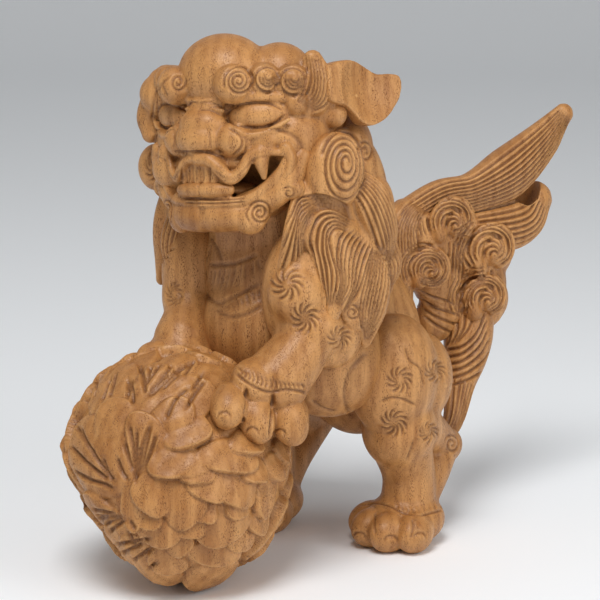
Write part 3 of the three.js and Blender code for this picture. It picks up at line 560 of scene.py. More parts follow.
# A rounded bar along a line, with a radius at each point, thinned across the side that it shows.
def sweep(points, radii, thin=1.0, side=OUTWARD, steps=6, sides=20):
    line, sizes, ahead = sized_line(points, radii, steps)
    line = np.vstack([line[0] - np.outer(np.sin(END_CAPS), ahead[0]) * sizes[0], line,
                      line[-1] + np.outer(np.sin(END_CAPS[::-1]), ahead[-1]) * sizes[-1]])
    sizes = np.concatenate([sizes[0] * np.cos(END_CAPS), sizes, sizes[-1] * np.cos(END_CAPS[::-1])])
    ahead = np.vstack([[ahead[0]] * len(END_CAPS), ahead, [ahead[-1]] * len(END_CAPS)])
    flat, broad = square_to(ahead, side)
    turn = np.linspace(0, 2 * np.pi, sides, endpoint=False)
    around = (np.cos(turn)[None, :, None] * broad[:, None]
              + thin * np.sin(turn)[None, :, None] * flat[:, None])
    rings = line[:, None] + sizes[:, None, None] * around
    last = (len(line) - 1) * sides
    faces = [tuple(range(sides)), tuple(range(last, last + sides))[::-1]]
    for ring in range(0, last, sides):
        for here in range(sides):
            after = (here + 1) % sides
            faces.append((ring + sides + here, ring + sides + after, ring + after, ring + here))
    return rings.reshape(-1, 3), faces


# Each lump of the body: its middle and its half sizes.
BODY_LUMPS = [
    ((0, 54, 114), (31, 28, 38)), ((0, 79.9, 89.2), (30, 33.6, 33)), ((0, 101, 78), (29, 25, 38)),
    ((2, 50, 92), (25, 23, 25)), ((4, 40, 96), (23, 20, 24)),
    ((21, 65, 80), (19, 27, 22)), ((-16, 66, 82), (18, 27, 22))]
NECK_LINE, NECK_SIZES = [(0, 54, 118), (0, 52, 140), (0, 49.2, 160)], [26, 25, 24]
body_forms = [lump(*form) for form in BODY_LUMPS] + [sweep(NECK_LINE, NECK_SIZES)]
body = shaped("carved_body", body_forms, voxel=1.0, soften=8)
body_cuts = Gouge(body)
BIB_CUT, FLANK_CUT, HATCH_STEPS = (1.9, 1.1), (2.4, 1.0), 5
BIB_LINES = [
    [(209, 265), (233, 264), (257, 255)], [(203, 293), (217, 303), (231, 298), (260, 284)],
    [(215, 310), (229, 317), (246, 314), (262, 305)], [(203, 230), (215, 245), (222, 262)],
    [(214, 236), (210, 248), (206, 260)]]
# Each patch of hatching: its top and foot edges, where its strokes bend and end between them, and its cut.
BIB_HATCHES = [
    ([(215, 300), (231, 299), (258, 287)], [(219, 309), (234, 311), (260, 299)], (0.5, 1.0), (1.5, 0.9)),
    ([(206, 268), (230, 268), (258, 259)], [(206, 289), (222, 298), (260, 280)], (0.4, 0.65), (1.5, 0.8))]
FLANK_LINES = [[(367, 352), (352, 368), (345, 388), (346, 405), (352, 420)],
               [(312, 400), (322, 408), (336, 412)]]
for chest_line in BIB_LINES:
    body_cuts.draw(chest_line, *BIB_CUT)
for top_edge, foot_edge, (bend, end), hatch_cut in BIB_HATCHES:
    for top, foot in zip(curve(top_edge, HATCH_STEPS), curve(foot_edge, HATCH_STEPS)):
        body_cuts.draw([top, top + (foot - top) * bend, top + (foot - top) * end], *hatch_cut)
for flank_line in FLANK_LINES:
    body_cuts.draw(flank_line, *FLANK_CUT)
body_cuts.finish()
body.data.materials.append(carved_wood)
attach(body, "root")
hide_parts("body")

# Head. A block of its own on the neck dowel, turned a little to its left: a domed brow with curled eyebrows,
# half shut eyes, a broad wrinkled nose and a snarling upper lip over a row of teeth.
HEAD_CENTRE = np.array([0.0, 48.0, 175.0])
HEAD_TURN, HEAD_TILT = math.radians(10.0), math.radians(5.0)
MIRRORED, EVEN_STEPS, COIL_POINTS = np.array([-1, 1, 1]), 10, 26
head_axes = np.array(Matrix.Rotation(HEAD_TURN, 3, "Z") @ Matrix.Rotation(-HEAD_TILT, 3, "Y"))


def on_head(points):
    return HEAD_CENTRE + np.asarray(points, float) @ head_axes.T


def off_head(points):
    return (points - HEAD_CENTRE) @ head_axes


def other_cheek(points):
    return on_head(off_head(points) * MIRRORED)


def head_lump(at, size, out=(0, 0, 1), along=(1, 0, 0), full=1.0):
    return lump(on_head(at), size, head_axes @ unit(out), head_axes @ unit(along), full)


def head_sweep(points, radii, thin=1.0, side=OUTWARD):
    return sweep(on_head(points), radii, thin, head_axes @ unit(side))


# Points at even distances along a line.
def evenly(points, count):
    line = curve(points, EVEN_STEPS)
    run = np.concatenate([[0], np.cumsum(np.linalg.norm(np.diff(line, axis=0), axis=1))])
    at = np.linspace(0, run[-1], count)
    return np.column_stack([np.interp(at, run, line[:, k]) for k in range(line.shape[1])])


# Strands from one edge of a lock to the other.
def between(first, last, count, points=14):
    first, last = evenly(first, points), evenly(last, points)
    return [first + (last - first) * share for share in np.linspace(0, 1, count)]


# A spiral in the picture, from its outer end to its core.
def coil(middle, half, turns, core=None, start=0.0, inner=0.08):
    middle, half = np.asarray(middle, float), np.ones(2) * half
    core = middle if core is None else np.asarray(core, float)
    share = np.linspace(0, 1, int(COIL_POINTS * turns))
    angle = np.radians(start) + 2 * np.pi * turns * share
    size = (1 - share) + inner * share
    ring = np.column_stack([np.cos(angle), np.sin(angle)]) * half * size[:, None]
    return middle + (core - middle) * share[:, None] + ring


# Each lump of the skull: its middle and its half sizes, from the middle of the head. The cheeks are in pairs.
SKULL_LUMPS = [
    ((0, 1, 0), (36, 33, 26)), ((1, -24.5, 22), (18.5, 16.5, 15.4)), ((0, -25, 8), (13, 14, 12)),
    ((0, -20, -7), (26, 18, 7)), ((0, -13, 8), (28, 17, 15)), ((18.5, -13, 20.0), (13, 13, 12.6)),
    ((-18, -11, 13.5), (13, 13, 12))]
CHEEKS = [((27.5, -14, -4), (11, 15, 14)), ((22, -22, -1.5), (11, 11, 8))]
# Each temple: its line and its radii.
TEMPLES = [([(31, -10, 22), (36, -10, 15), (34, -10, 6)], [6, 7, 6]),
           ([(-31, -10, 12), (-35, -10, 7), (-34, -10, 2)], [6, 7, 6])]
NECK_STUMP, NECK_STUMP_SIZES = [(0, 50, 142), (0, 49, 160)], [24, 24]
head_forms = [sweep(NECK_STUMP, NECK_STUMP_SIZES)] + [head_lump(*form) for form in SKULL_LUMPS]
head_forms += [head_sweep(*temple) for temple in TEMPLES]
for side in (-1, 1):
    head_forms += [head_lump(np.array([side, 1, 1]) * at, size) for at, size in CHEEKS]
head = shaped("carved_head", head_forms, voxel=1.0, soften=5)
# The features of the left half of the face, which the right half mirrors.
EYE_AT, EYE_SIZE, EYE_ALONG = (19.6, -28.8, 6.6), (11.6, 6.6, 6.3), (0.87, 0.48, 0.0)
POUCH_AT, POUCH_SIZE, POUCH_OUT = (20, -31, -2.4), (8.0, 6.0, 4.6), (0, -1, 0.3)
LOWER_LID = [(9.6, -38.8, 3.2), (16, -37.8, 0.2), (24, -34.0, 0.0), (32, -27.8, 4.4)], [0.9, 1.3, 1.3, 0.9]
UPPER_LID = [(6, -35.6, 14.2), (13, -36.2, 13.8), (21, -31.8, 14.0), (30, -25.0, 12.6)], [1.8, 2.5, 2.5, 1.8]
BROW_CURLS = [((13.4, -36.0, 18.8), 7.4, (0.32, -0.92, 0.16)), ((21.8, -27.6, 19.8), 6.2, (0.5, -0.85, 0.14)),
              ((30.2, -21.2, 18.2), 6.6, (0.66, -0.74, 0.1))]
BROW_HIGH, BROW_FULL = 7.4, 0.85
NOSE_WING = (12.0, -36.2, -2.0), (7.8, 6.8, 6.8)
WHISKER_PAD = (17.5, -31.0, -6.0), (6.5, 6.0, 4.0)
EAR_ROOT = (38.4, -7.6, 4.2), (5.2, 5.6, 5.2)
UPPER_LIP = [(0, -43.4, -8.4), (5, -43.2, -8.8), (9.5, -42.6, -12.6), (12.6, -41.0, -16.2),
             (16.6, -39.0, -13.4), (19.2, -37.0, -8.4), (22.4, -35.0, -6.2), (26.0, -32.6, -6.8),
             (29.4, -30.4, -7.8)]
UPPER_LIP_SIZES = np.array([3.0, 3.0, 3.0, 2.9, 2.7, 2.4, 2.2, 2.0, 1.4])
FANG = [(22.6, -34.0, -7), (23.0, -34.6, -11), (23.4, -34.2, -16.4)], [3.3, 2.8, 1.2]
MOUTH_CORNER = [(30.6, -29.0, -6.0), (32.0, -28.0, -11.0), (29.6, -29.6, -17.0)], [2.4, 2.4, 2.0]
# What differs between the halves: the temple lock, and how full the lip is.
TEMPLE_LOCKS = {1: [(36.0, -15, 25.5), (37.8, -14.6, 18.5), (36.8, -15.4, 10.0), (33.0, -20, 6.5)],
                -1: [(-34.5, -15, 17.0), (-36.6, -14.4, 11.0), (-36.0, -15.0, 3.5), (-32.0, -19, 0.0)]}
TEMPLE_LOCK_SIZES, TEMPLE_LOCK_THIN, TEMPLE_LOCK_OUT = [4.0, 5.4, 5.0, 2.6], 0.75, (0.8, -0.6, 0)
LIP_FULL = {1: 0.86, -1: 0.6}
features = []
for side in (-1, 1):
    mirror = np.array([side, 1, 1])
    features.append(head_lump(mirror * EYE_AT, EYE_SIZE, along=mirror * EYE_ALONG))
    features.append(head_lump(mirror * POUCH_AT, POUCH_SIZE, POUCH_OUT))
    for at, size, facing in BROW_CURLS:
        features.append(head_lump(mirror * at, (size, size, BROW_HIGH), mirror * facing, full=BROW_FULL))
    for at, size in (NOSE_WING, WHISKER_PAD, EAR_ROOT):
        features.append(head_lump(mirror * at, size))
    upper_lip = UPPER_LIP, UPPER_LIP_SIZES * LIP_FULL[side]
    for line, sizes in (LOWER_LID, UPPER_LID, FANG, MOUTH_CORNER, upper_lip):
        features.append(head_sweep(mirror * line, sizes))
    features.append(head_sweep(TEMPLE_LOCKS[side], TEMPLE_LOCK_SIZES, TEMPLE_LOCK_THIN,
                               mirror * TEMPLE_LOCK_OUT))
# Lumps of the nose, brows, far cheek and gums, then rolls of the far temple and the wrinkled nose.
FACE_LUMPS = [
    ((-1.0, -38.0, -1.0), (11.2, 9.2, 7.8)), ((-0.5, -37.6, 3.8), (10.2, 8.0, 7.0)),
    ((31.5, -20.5, 10.5), (5.5, 6, 5.5)), ((-30, -24, 14.5), (9.5, 8.5, 8.5)),
    ((-21, -32.0, -14), (10, 5.5, 8)), ((0, -36.0, -6.8), (13, 7.2, 4.2)),
    ((0, -35.0, -11.0), (17, 6.0, 4.6))]
FACE_ROLLS = [
    ([(-36, -22, 12), (-38.0, -23, 5), (-37.0, -25, -1)], [5.5, 5.5, 3.5]),
    ([(-8, -36.6, 13.2), (0, -39.0, 12.4), (8, -36.6, 12.0)], [1.2, 1.6, 1.2]),
    ([(-8, -37.4, 10.2), (0, -40.0, 9.6), (8.4, -37.4, 9.2)], [1.1, 1.4, 1.1])]
features += [head_lump(*form) for form in FACE_LUMPS] + [head_sweep(*roll) for roll in FACE_ROLLS]
TEETH_AT, TEETH_BOW, TOOTH_SIZES, TOOTH_THIN = np.linspace(-8.6, 9.0, 6), 42, [1.6, 1.5], 0.8
TOOTH_ROOT, TOOTH_TIP = (-42.2, -11.0), (-42.8, -17.6)
for across in TEETH_AT:
    tooth = [(across, back + across ** 2 / TEETH_BOW, rise) for back, rise in (TOOTH_ROOT, TOOTH_TIP)]
    features.append(head_sweep(tooth, TOOTH_SIZES, TOOTH_THIN, (0, 1, 0)))
head = shaped("carved_head", features, voxel=0.62, soften=1, onto=head)
head_cuts = Gouge(head)
# Each line of the face: its pixels, its width and its depth.
HEAD_DRAWN = [
    ([(197, 104), (209, 102), (223, 108), (226, 114)], 1.4, 0.8),
    ([(198, 110), (211, 110), (222, 116)], 1.3, 0.6),
    ([(224, 116), (240, 105), (267, 103), (284, 110)], 1.5, 0.9),
    ([(226, 120), (239, 125.5), (257, 127.5), (273, 124), (285, 115)], 1.5, 1.1),
    ([(228, 127), (240, 135), (242, 146), (232, 157)], 1.5, 1.0),
    ([(235, 130), (246, 139), (245, 152), (236, 160)], 1.3, 0.7),
    ([(173, 152), (190, 152), (207, 152), (215, 154), (226, 159)], 1.8, 1.3),
    ([(209, 130), (210, 140), (211, 150)], 1.6, 0.7),
    ([(216, 151), (219, 152), (222, 152)], 2.6, 1.6), ([(172, 120), (174, 135), (173, 150)], 1.5, 0.6),
    ([(213, 170), (226, 179), (236, 178), (246, 168), (257, 158), (268, 157)], 1.2, 0.5),
    ([(266, 129), (287, 132), (301, 145), (305, 167)], 2.4, 0.8)]
for pixels, width, depth in HEAD_DRAWN:
    head_cuts.draw(pixels, width, depth)
# The curls of the brows: a snail on the first, a ring and nested crests on the others, a small one far off.
FIRST_CURL, FIRST_CURL_HALF, CURL_CUT = (239, 81), 16.0, (1.6, 1.3)
CREST_CURLS, RING_GROW, RING_CUT = (((267, 79), 12.0), ((293, 81), 13.0)), 1.1, (1.7, 1.3)
BROW_CREST_SHARES, BROW_CREST_SHIFT = (0.84, 0.62, 0.40), np.array([0.25, -0.35])
FAR_CURL, FAR_CURL_HALF, FAR_CURL_CUT = (178, 82), (8, 10), (1.6, 0.9)
head_cuts.draw(coil(FIRST_CURL, FIRST_CURL_HALF, turns=3.2, start=150, inner=0.12), *CURL_CUT, steps=2)
for middle, half in CREST_CURLS:
    head_cuts.draw(coil(middle, half * RING_GROW, turns=1.0, start=60, inner=0.9), *RING_CUT, steps=2)
    for share in BROW_CREST_SHARES:
        crest = np.asarray(middle) + BROW_CREST_SHIFT * half * (1 - share)
        head_cuts.draw(coil(crest, half * share, turns=0.66, start=330, inner=0.8), *CURL_CUT, steps=2)
head_cuts.draw(coil(FAR_CURL, FAR_CURL_HALF, turns=1.8, start=330), *FAR_CURL_CUT, steps=2)
# Each patch of temple hair: its edges, its strands and its cut.
TEMPLE_HAIR = [
    ([(170, 76), (162, 84), (168, 98)], [(158, 84), (154, 100), (152, 120)], 4, (1.5, 0.8)),
    ([(305, 55), (307, 83), (297, 104)], [(328, 58), (332, 83), (327, 104), (310, 113)], 8, (1.5, 1.1))]
for patch in TEMPLE_HAIR:
    head_cuts.fill(*patch)
# A strand of the crown: how far it spreads, and its place behind and above the middle of the head.
CROWN_STRAND = [(12, -4, 44), (24, 14, 42), (34, 32, 26), (38, 40, 6), (38, 42, -14)]
CROWN_SPREAD, CROWN_STEPS, CROWN_CUT = np.linspace(-1.3, 1.3, 29), 8, (2.2, 1.3)
for across in CROWN_SPREAD:
    strand = [(spread * across, behind, above) for spread, behind, above in CROWN_STRAND]
    head_cuts.lay(on_head(curve(strand, CROWN_STEPS)), *CROWN_CUT)
TOOTH_GAPS, TOOTH_GAP_DOWN, TOOTH_GAP_CUT = (182, 189, 196, 203, 210), (167, 175, 183), (1.3, 1.0)
for across in TOOTH_GAPS:
    head_cuts.draw([(across, down) for down in TOOTH_GAP_DOWN], *TOOTH_GAP_CUT)
NOSE_HALF = 5.0
face_lines = head_cuts.lines[:len(HEAD_DRAWN)]
left_lines = [line for line in face_lines if off_head(line[0])[:, 0].mean() > NOSE_HALF]
head_cuts.repeat(left_lines, other_cheek)
head_cuts.finish()
head.data.materials.append(carved_wood)
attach(head, "root")
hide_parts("head")

# Lower jaw. A separate block pegged under the muzzle, so the mouth stands open: tongue bar, rolled lower lip
# and a heavy chin roll that ends in a curl on each side.
JAW_BLOCK = (0, -19, -28.4), (21, 17, 7.6)
CHIN_ROLL = [(-17, -33, -30.8), (-9, -37.2, -30.8), (0, -38.6, -30.8), (9, -37.2, -30.6), (17, -33, -30.2)]
CHIN_ROLL_SIZES = [6.2, 6.5, 6.5, 6.5, 6.2]
jaw = shaped("carved_lower_jaw", [head_lump(*JAW_BLOCK), head_sweep(CHIN_ROLL, CHIN_ROLL_SIZES)],
             voxel=0.9, soften=4)
LOWER_TEETH = [(-11, -40.4, -20.6), (-6, -42.6, -20.4), (1, -43.2, -20.2), (7, -42.2, -20.2),
               (11, -40.4, -20.4)]
LOWER_TEETH_SIZES = [2.4, 2.7, 2.8, 2.7, 2.4]
GUM, GUM_SIZES = [(-15, -38.0, -23.6), (-6, -40.6, -23.6), (4, -41.0, -23.4)], [2.0, 2.2, 2.0]
TONGUE = (0, -30, -21.5), (14, 11, 2.6)
# The left half of the jaw, which the right half mirrors: rolls with their radii, and curls.
LOWER_LIP = [(0, -43.0, -25.4), (10, -41.4, -25.2), (17, -38.4, -24.4), (23, -34.6, -20.8),
             (28.4, -30.6, -15.0), (31, -28.4, -9.0)]
LOWER_LIP_SIZES = np.array([2.2, 2.2, 2.2, 2.3, 2.3, 1.8])
JAW_EDGE = [(13, -36, -27), (21, -31.5, -25.0), (27.5, -26.5, -19.0), (32, -22, -10)], [4.4, 5.6, 6.0, 4.6]
JAW_FOLD = [(20, -33, -29.5), (25, -29.0, -26.2), (29.4, -26.6, -23.0)], [2.8, 2.6, 2.6]
CHIN_CURL, CHIN_CURL_SIZE, CHIN_CURL_OUT = (16.4, -35.6, -31.6), (6.6, 6.6, 4.8), (0.42, -0.9, 0)
CORNER_CURL, CORNER_CURL_SIZE = (31.0, -26.2, -21.6), (4.4, 4.4, 4.4)
jaw_forms = [head_sweep(LOWER_TEETH, LOWER_TEETH_SIZES), head_sweep(GUM, GUM_SIZES), head_lump(*TONGUE)]
for side in (-1, 1):
    mirror = np.array([side, 1, 1])
    for line, sizes in ((LOWER_LIP, LOWER_LIP_SIZES * LIP_FULL[side]), JAW_EDGE, JAW_FOLD):
        jaw_forms.append(head_sweep(mirror * line, sizes))
    jaw_forms.append(head_lump(mirror * CHIN_CURL, CHIN_CURL_SIZE, mirror * CHIN_CURL_OUT))
    jaw_forms.append(head_lump(mirror * CORNER_CURL, CORNER_CURL_SIZE))
jaw = shaped("carved_lower_jaw", jaw_forms, voxel=0.5, soften=2, onto=jaw)
jaw_cuts = Gouge(jaw)
# Each line of the jaw: its pixels, its width and its depth. The last one is cut on both sides.
JAW_DRAWN = [
    ([(184, 198), (217, 199.5), (247, 198)], 1.3, 0.8), ([(184, 203), (217, 203.5), (246, 202)], 1.4, 0.9),
    ([(250, 205), (246, 214), (250, 224)], 1.4, 0.8)]
# Each curl of the jaw: its middle in the picture, its half size, its turns and its cut.
JAW_COILS = [((260, 213), 12.5, 2.4, (1.5, 0.9)), ((289, 193), 6.5, 1.6, (1.2, 0.6))]
for pixels, width, depth in JAW_DRAWN:
    jaw_cuts.draw(pixels, width, depth)
for middle, half, turns, jaw_cut in JAW_COILS:
    jaw_cuts.draw(coil(middle, half, turns, start=200), *jaw_cut, steps=2)
jaw_cuts.repeat(jaw_cuts.lines[len(JAW_DRAWN) - 1:], other_cheek)
jaw_cuts.finish()
jaw.data.materials.append(carved_wood)
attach(jaw, "root")
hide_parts("lower_jaw")

# Forelegs. Two blocks dowelled to the shoulders and pegged onto the ball: smooth muscled legs with
# pinwheel hair marks, a fringe above the paw and four fat toes that grip the ball.
STROKE_POINTS, STROKE_CURL, PINWHEEL_CUT = 6, 1.4, (1.6, 1.1)


# The strokes of a pinwheel hair mark in the picture.
def pinwheel(middle, half, strokes=10, bend=60.0, inner=0.14):
    lines = []
    for stroke in range(strokes):
        share = np.linspace(inner, 1, STROKE_POINTS)
        angle = 2 * np.pi * stroke / strokes + np.radians(bend) * share ** STROKE_CURL
        ring = np.column_stack([np.cos(angle), np.sin(angle)])
        lines.append(np.asarray(middle) + ring * half * share[:, None])
    return lines


# Each lump of a foreleg: its middle, its half sizes and, where it is turned, the way it faces and points.
LEFT_LEG_LUMPS = [
    ((32, 37, 114), (15.3, 16, 25.5)), ((36.3, 36.0, 100.7), (12.4, 14.0, 14.0)),
    ((33.0, 15.0, 82.6), (16.5, 10.5, 8.4), (0.68, 0.234, 0.695), (0, 1, 0)),
    ((36.0, 30, 115.5), (11.5, 12, 13)), ((41, 36, 101), (10, 11, 10.5)),
    ((38.0, 48, 95.5), (9.0, 13.5, 12.5))]
LEFT_LEG_LINE = [(34, 36, 108), (37, 35.5, 100), (37.5, 29, 92), (35, 20, 82.5)]
LEFT_LEG_SIZES = [12.6, 11.4, 11.6, 13.2]
left_forms = [lump(*form) for form in LEFT_LEG_LUMPS] + [sweep(LEFT_LEG_LINE, LEFT_LEG_SIZES)]
left_foreleg = shaped("carved_left_foreleg", left_forms, voxel=1.0, soften=4)
# Each toe: its middle, half length and half width, the way it faces and its tip's heading in the picture.
LEFT_TOES = [((33.4, -3.6, 76.6), 10.0, 7.0, (0.74, -0.08, 0.66), 112),
             ((37.4, 6.6, 71.2), 11.0, 7.2, (0.81, 0.20, 0.55), 100),
             ((41.6, 20.4, 68.8), 11.0, 7.8, (0.85, 0.38, 0.40), 95)]
TOE_HIGH = 7.4
REAR_TOE = (36, 28, 69), (9, 6, 6), (0.6, 0.75, 0.3), (0.1, 0.1, -0.9)
toes = [lump(*REAR_TOE)]
for middle, half_length, half_width, facing, heading in LEFT_TOES:
    toes.append(lump(middle, (half_length, half_width, TOE_HIGH), facing, way_in_picture(heading)))
left_foreleg = shaped("carved_left_foreleg", toes, voxel=0.58, soften=1, onto=left_foreleg)
left_foreleg_cuts = Gouge(left_foreleg)
# Each hair mark: its middle and its radius in the picture.
LEFT_MARKS = [((287, 284), 18.0), ((305, 318), 16.0), ((340, 338), 13.0)]
for middle, half in LEFT_MARKS:
    for stroke in pinwheel(middle, half, bend=50.0):
        left_foreleg_cuts.draw(stroke, *PINWHEEL_CUT, steps=2)
hair_strokes = len(left_foreleg_cuts.lines)
FRINGE_BAND = [(233, 370), (247, 382), (268, 392), (285, 390), (303, 392), (310, 399)]
FRINGE_TOP = [(238, 366), (256, 371), (275, 379), (300, 383)]
FRINGE_FOOT = [(240, 376), (255, 386), (273, 391), (303, 391)]
FRINGE_HAIRS, FRINGE_BEND = 15, (3, 0)
TOE_CLEFTS = [[(246, 387), (246, 405), (242, 424)], [(273, 393), (272, 416), (270, 437)]]
LEFT_CLAWS = [(224, 417), (252, 433), (279, 435)]
BAND_CUT, HAIR_CUT, CLEFT_CUT = (1.7, 1.2), (1.4, 0.9), (2.4, 1.6)
left_foreleg_cuts.draw(FRINGE_BAND, *BAND_CUT)
left_foreleg_cuts.fringe(FRINGE_TOP, FRINGE_FOOT, FRINGE_HAIRS, HAIR_CUT, FRINGE_BEND)
for cleft in TOE_CLEFTS:
    left_foreleg_cuts.draw(cleft, *CLEFT_CUT)
for pixel in LEFT_CLAWS:
    left_foreleg_cuts.claw(pixel)
left_foreleg_cuts.finish()
RIGHT_LEG_LUMPS = [
    ((-26, 37, 114), (14, 16, 25.5)), ((-25.5, 33.2, 104.7), (12.0, 13, 15)),
    ((-17, 18, 85), (14, 14, 8.5), (-0.25, 0.25, 0.94), (1, 0, 0))]
RIGHT_LEG_LINE = [(-26, 34, 112), (-25, 31, 104.7), (-21, 27, 98), (-17, 19, 90)]
RIGHT_LEG_SIZES = [12.5, 11.5, 10.5, 11.5]
right_forms = [lump(*form) for form in RIGHT_LEG_LUMPS] + [sweep(RIGHT_LEG_LINE, RIGHT_LEG_SIZES)]
right_foreleg = shaped("carved_right_foreleg", right_forms, voxel=1.0, soften=5)
# Each toe: its ray from the middle of the ball, and the way it points.
RIGHT_TOES = [((-0.36, 0.12, 0.92), (-0.3, -0.95, -0.1)), ((-0.50, 0.22, 0.83), (-0.6, -0.7, -0.35)),
              ((-0.54, 0.40, 0.74), (-0.8, -0.3, -0.6)), ((-0.38, 0.62, 0.68), (-0.85, 0.2, -0.6))]
RIGHT_TOE_REACH, RIGHT_TOE_SIZE = 46.0, (8.5, 5.6, 5.2)
right_toes = [lump(BALL_CENTRE + np.array(ray) * RIGHT_TOE_REACH, RIGHT_TOE_SIZE, along=aim)
              for ray, aim in RIGHT_TOES]
right_foreleg = shaped("carved_right_foreleg", right_toes, voxel=0.62, soften=2, onto=right_foreleg)
right_foreleg_cuts = Gouge(right_foreleg)
RIGHT_MARK, RIGHT_MARK_HALF, RIGHT_LEG_SHIFT = (174, 294), (9, 13), np.array([6, 3, 4])
for stroke in pinwheel(RIGHT_MARK, RIGHT_MARK_HALF, strokes=11):
    right_foreleg_cuts.draw(stroke, *PINWHEEL_CUT, steps=2)
right_foreleg_cuts.repeat(left_foreleg_cuts.lines[:hair_strokes],
                          lambda path: path * MIRRORED + RIGHT_LEG_SHIFT)
right_foreleg_cuts.finish()
for leg in (left_foreleg, right_foreleg):
    leg.data.materials.append(carved_wood)
    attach(leg, "root")
    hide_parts(leg.name.removeprefix("carved_"))

# Hind legs. Two blocks dowelled to the hips, the right one set further forward: round thighs with pinwheel
# marks, a curled tuft behind the hock, a fringed ankle and a flat broad foot.
TUFT_SIZE = (6.6, 7.6, 7.6)
# Each lump of a hind leg: its middle, how far it follows the shift of the foot, and its half sizes.
HIND_LUMPS = [((31, 90, 72), 0.2, (16.2, 20.7, 25.2)), ((27, 108, 67), 0.2, (14.4, 16.2, 19.8)),
              ((30.5, 94.5, 49), 0.7, (15, 16, 17)), ((30, 99, 9.8), 1.0, (16, 17, 11.2))]
# Each line of a hind leg: its points, and how far each follows the shift. The ham and heel meet at the hock.
SHANK = [((31, 92, 66), 0.4), ((30.5, 93.5, 49), 0.7), ((30, 101, 28), 1.0), ((30, 99.5, 10), 1.0)]
HAM = [((30.5, 102, 49), 0.7), ((29, 113, 44), 0.7)]
HEEL = [((29, 116, 27), 1.0), ((29, 108, 16), 1.0)]
SHANK_SIZES, HAM_SIZES, HEEL_SIZES = [13.5, 13.4, 11.0, 12.0], [12.4, 9.0, 6.4], [6.0, 8.0, 8.0]
# Each toe: its place across and back, and the way it points.
HIND_TOES = [(18, 92.2, (-0.3, -1, 0)), (24.9, 85.6, (-0.08, -1, 0)), (34.2, 85.3, (0.12, -1, 0)),
             (41.8, 91.8, (0.4, -1, 0))]
HIND_TOE_RISE, HIND_TOE_SIZE = 7.8, (10.6, 7.6, 8.4)


def hind_leg(name, side, shift, hock):
    mirror = np.array([side, 1, 1])

    def at(place, follow):
        return np.array(place) * mirror + [0, shift * follow, 0]

    forms = [lump(at(place, follow), size) for place, follow, size in HIND_LUMPS]
    forms += [sweep([at(*point) for point in SHANK], SHANK_SIZES),
              sweep([at(*point) for point in HAM] + [hock], HAM_SIZES),
              sweep([hock] + [at(*point) for point in HEEL], HEEL_SIZES), lump(hock, TUFT_SIZE)]
    leg = shaped(name, forms, voxel=1.0, soften=6)
    toes = [lump(at((x, y, HIND_TOE_RISE), 1.0), HIND_TOE_SIZE, along=mirror * aim)
            for x, y, aim in HIND_TOES]
    return shaped(name, toes, voxel=0.62, soften=2, onto=leg)


LEFT_HOCK, RIGHT_HOCK = np.array([27.0, 127.0, 35.0]), np.array([-27.0, 113.8, 45.0])
RIGHT_FOOT_SHIFT, RIGHT_THIGH_SHIFT = -22.0, np.array([0, -12, 0])
left_hind_leg = hind_leg("carved_left_hind_leg", 1, 0.0, LEFT_HOCK)
left_hind_cuts = Gouge(left_hind_leg)
HIND_MARKS = [((400, 380), 14.5), ((436, 371), 11.5), ((394, 423), 14.5), ((429, 432), 10.5)]
for middle, half in HIND_MARKS:
    for stroke in pinwheel(middle, half):
        left_hind_cuts.draw(stroke, *PINWHEEL_CUT, steps=2)
HIND_LINES = [
    [(380, 402), (390, 398), (402, 399), (416, 405)], [(405, 346), (410, 360), (420, 368), (424, 385)],
    [(360, 505), (378, 503), (392, 507), (404, 513), (421, 515), (442, 510)],
    [(414, 440), (411, 450), (407, 460)], [(376, 512), (374, 524), (376, 536)],
    [(412, 518), (413, 528), (410, 540)]]
ANKLE_TOP, ANKLE_FOOT = [(396, 504), (410, 507), (440, 502)], [(399, 511), (412, 514), (441, 509)]
ANKLE_HAIRS, TUFT_COIL, TUFT_COIL_HALF = 9, (452, 444), (8, 10)
HIND_CLAWS = [(359, 538), (391, 541), (420, 538)]
HIND_CUT, ANKLE_CUT, TUFT_CUT = (1.6, 0.9), (1.3, 0.6), (1.5, 0.9)
for pixels in HIND_LINES:
    left_hind_cuts.draw(pixels, *HIND_CUT)
left_hind_cuts.fringe(ANKLE_TOP, ANKLE_FOOT, ANKLE_HAIRS, ANKLE_CUT)
left_hind_cuts.draw(coil(TUFT_COIL, TUFT_COIL_HALF, turns=1.9, start=200), *TUFT_CUT, steps=2)
for pixel in HIND_CLAWS:
    left_hind_cuts.claw(pixel)
left_hind_cuts.finish()
right_hind_leg = hind_leg("carved_right_hind_leg", -1, RIGHT_FOOT_SHIFT, RIGHT_HOCK)
right_hind_cuts = Gouge(right_hind_leg)
right_hind_cuts.repeat(left_hind_cuts.lines, lambda path: path * MIRRORED + RIGHT_THIGH_SHIFT)
right_hind_cuts.finish()
for leg in (left_hind_leg, right_hind_leg):
    plane_underneath(leg)
    leg.data.materials.append(carved_wood)
    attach(leg, "root")
    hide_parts(leg.name.removeprefix("carved_"))

# Side manes. A block glued to each side of the neck: one big spiral curl beside the cheek, smaller curls
# behind it and long combed locks that hang over the shoulder to a point.
S_LOCK = [(42, 54, 158), (47, 58.5, 150), (47, 65, 137), (44, 71.5, 124)]
S_LOCK_SIZES, S_LOCK_THIN = [5.0, 8.0, 7.6, 3.6], 0.8
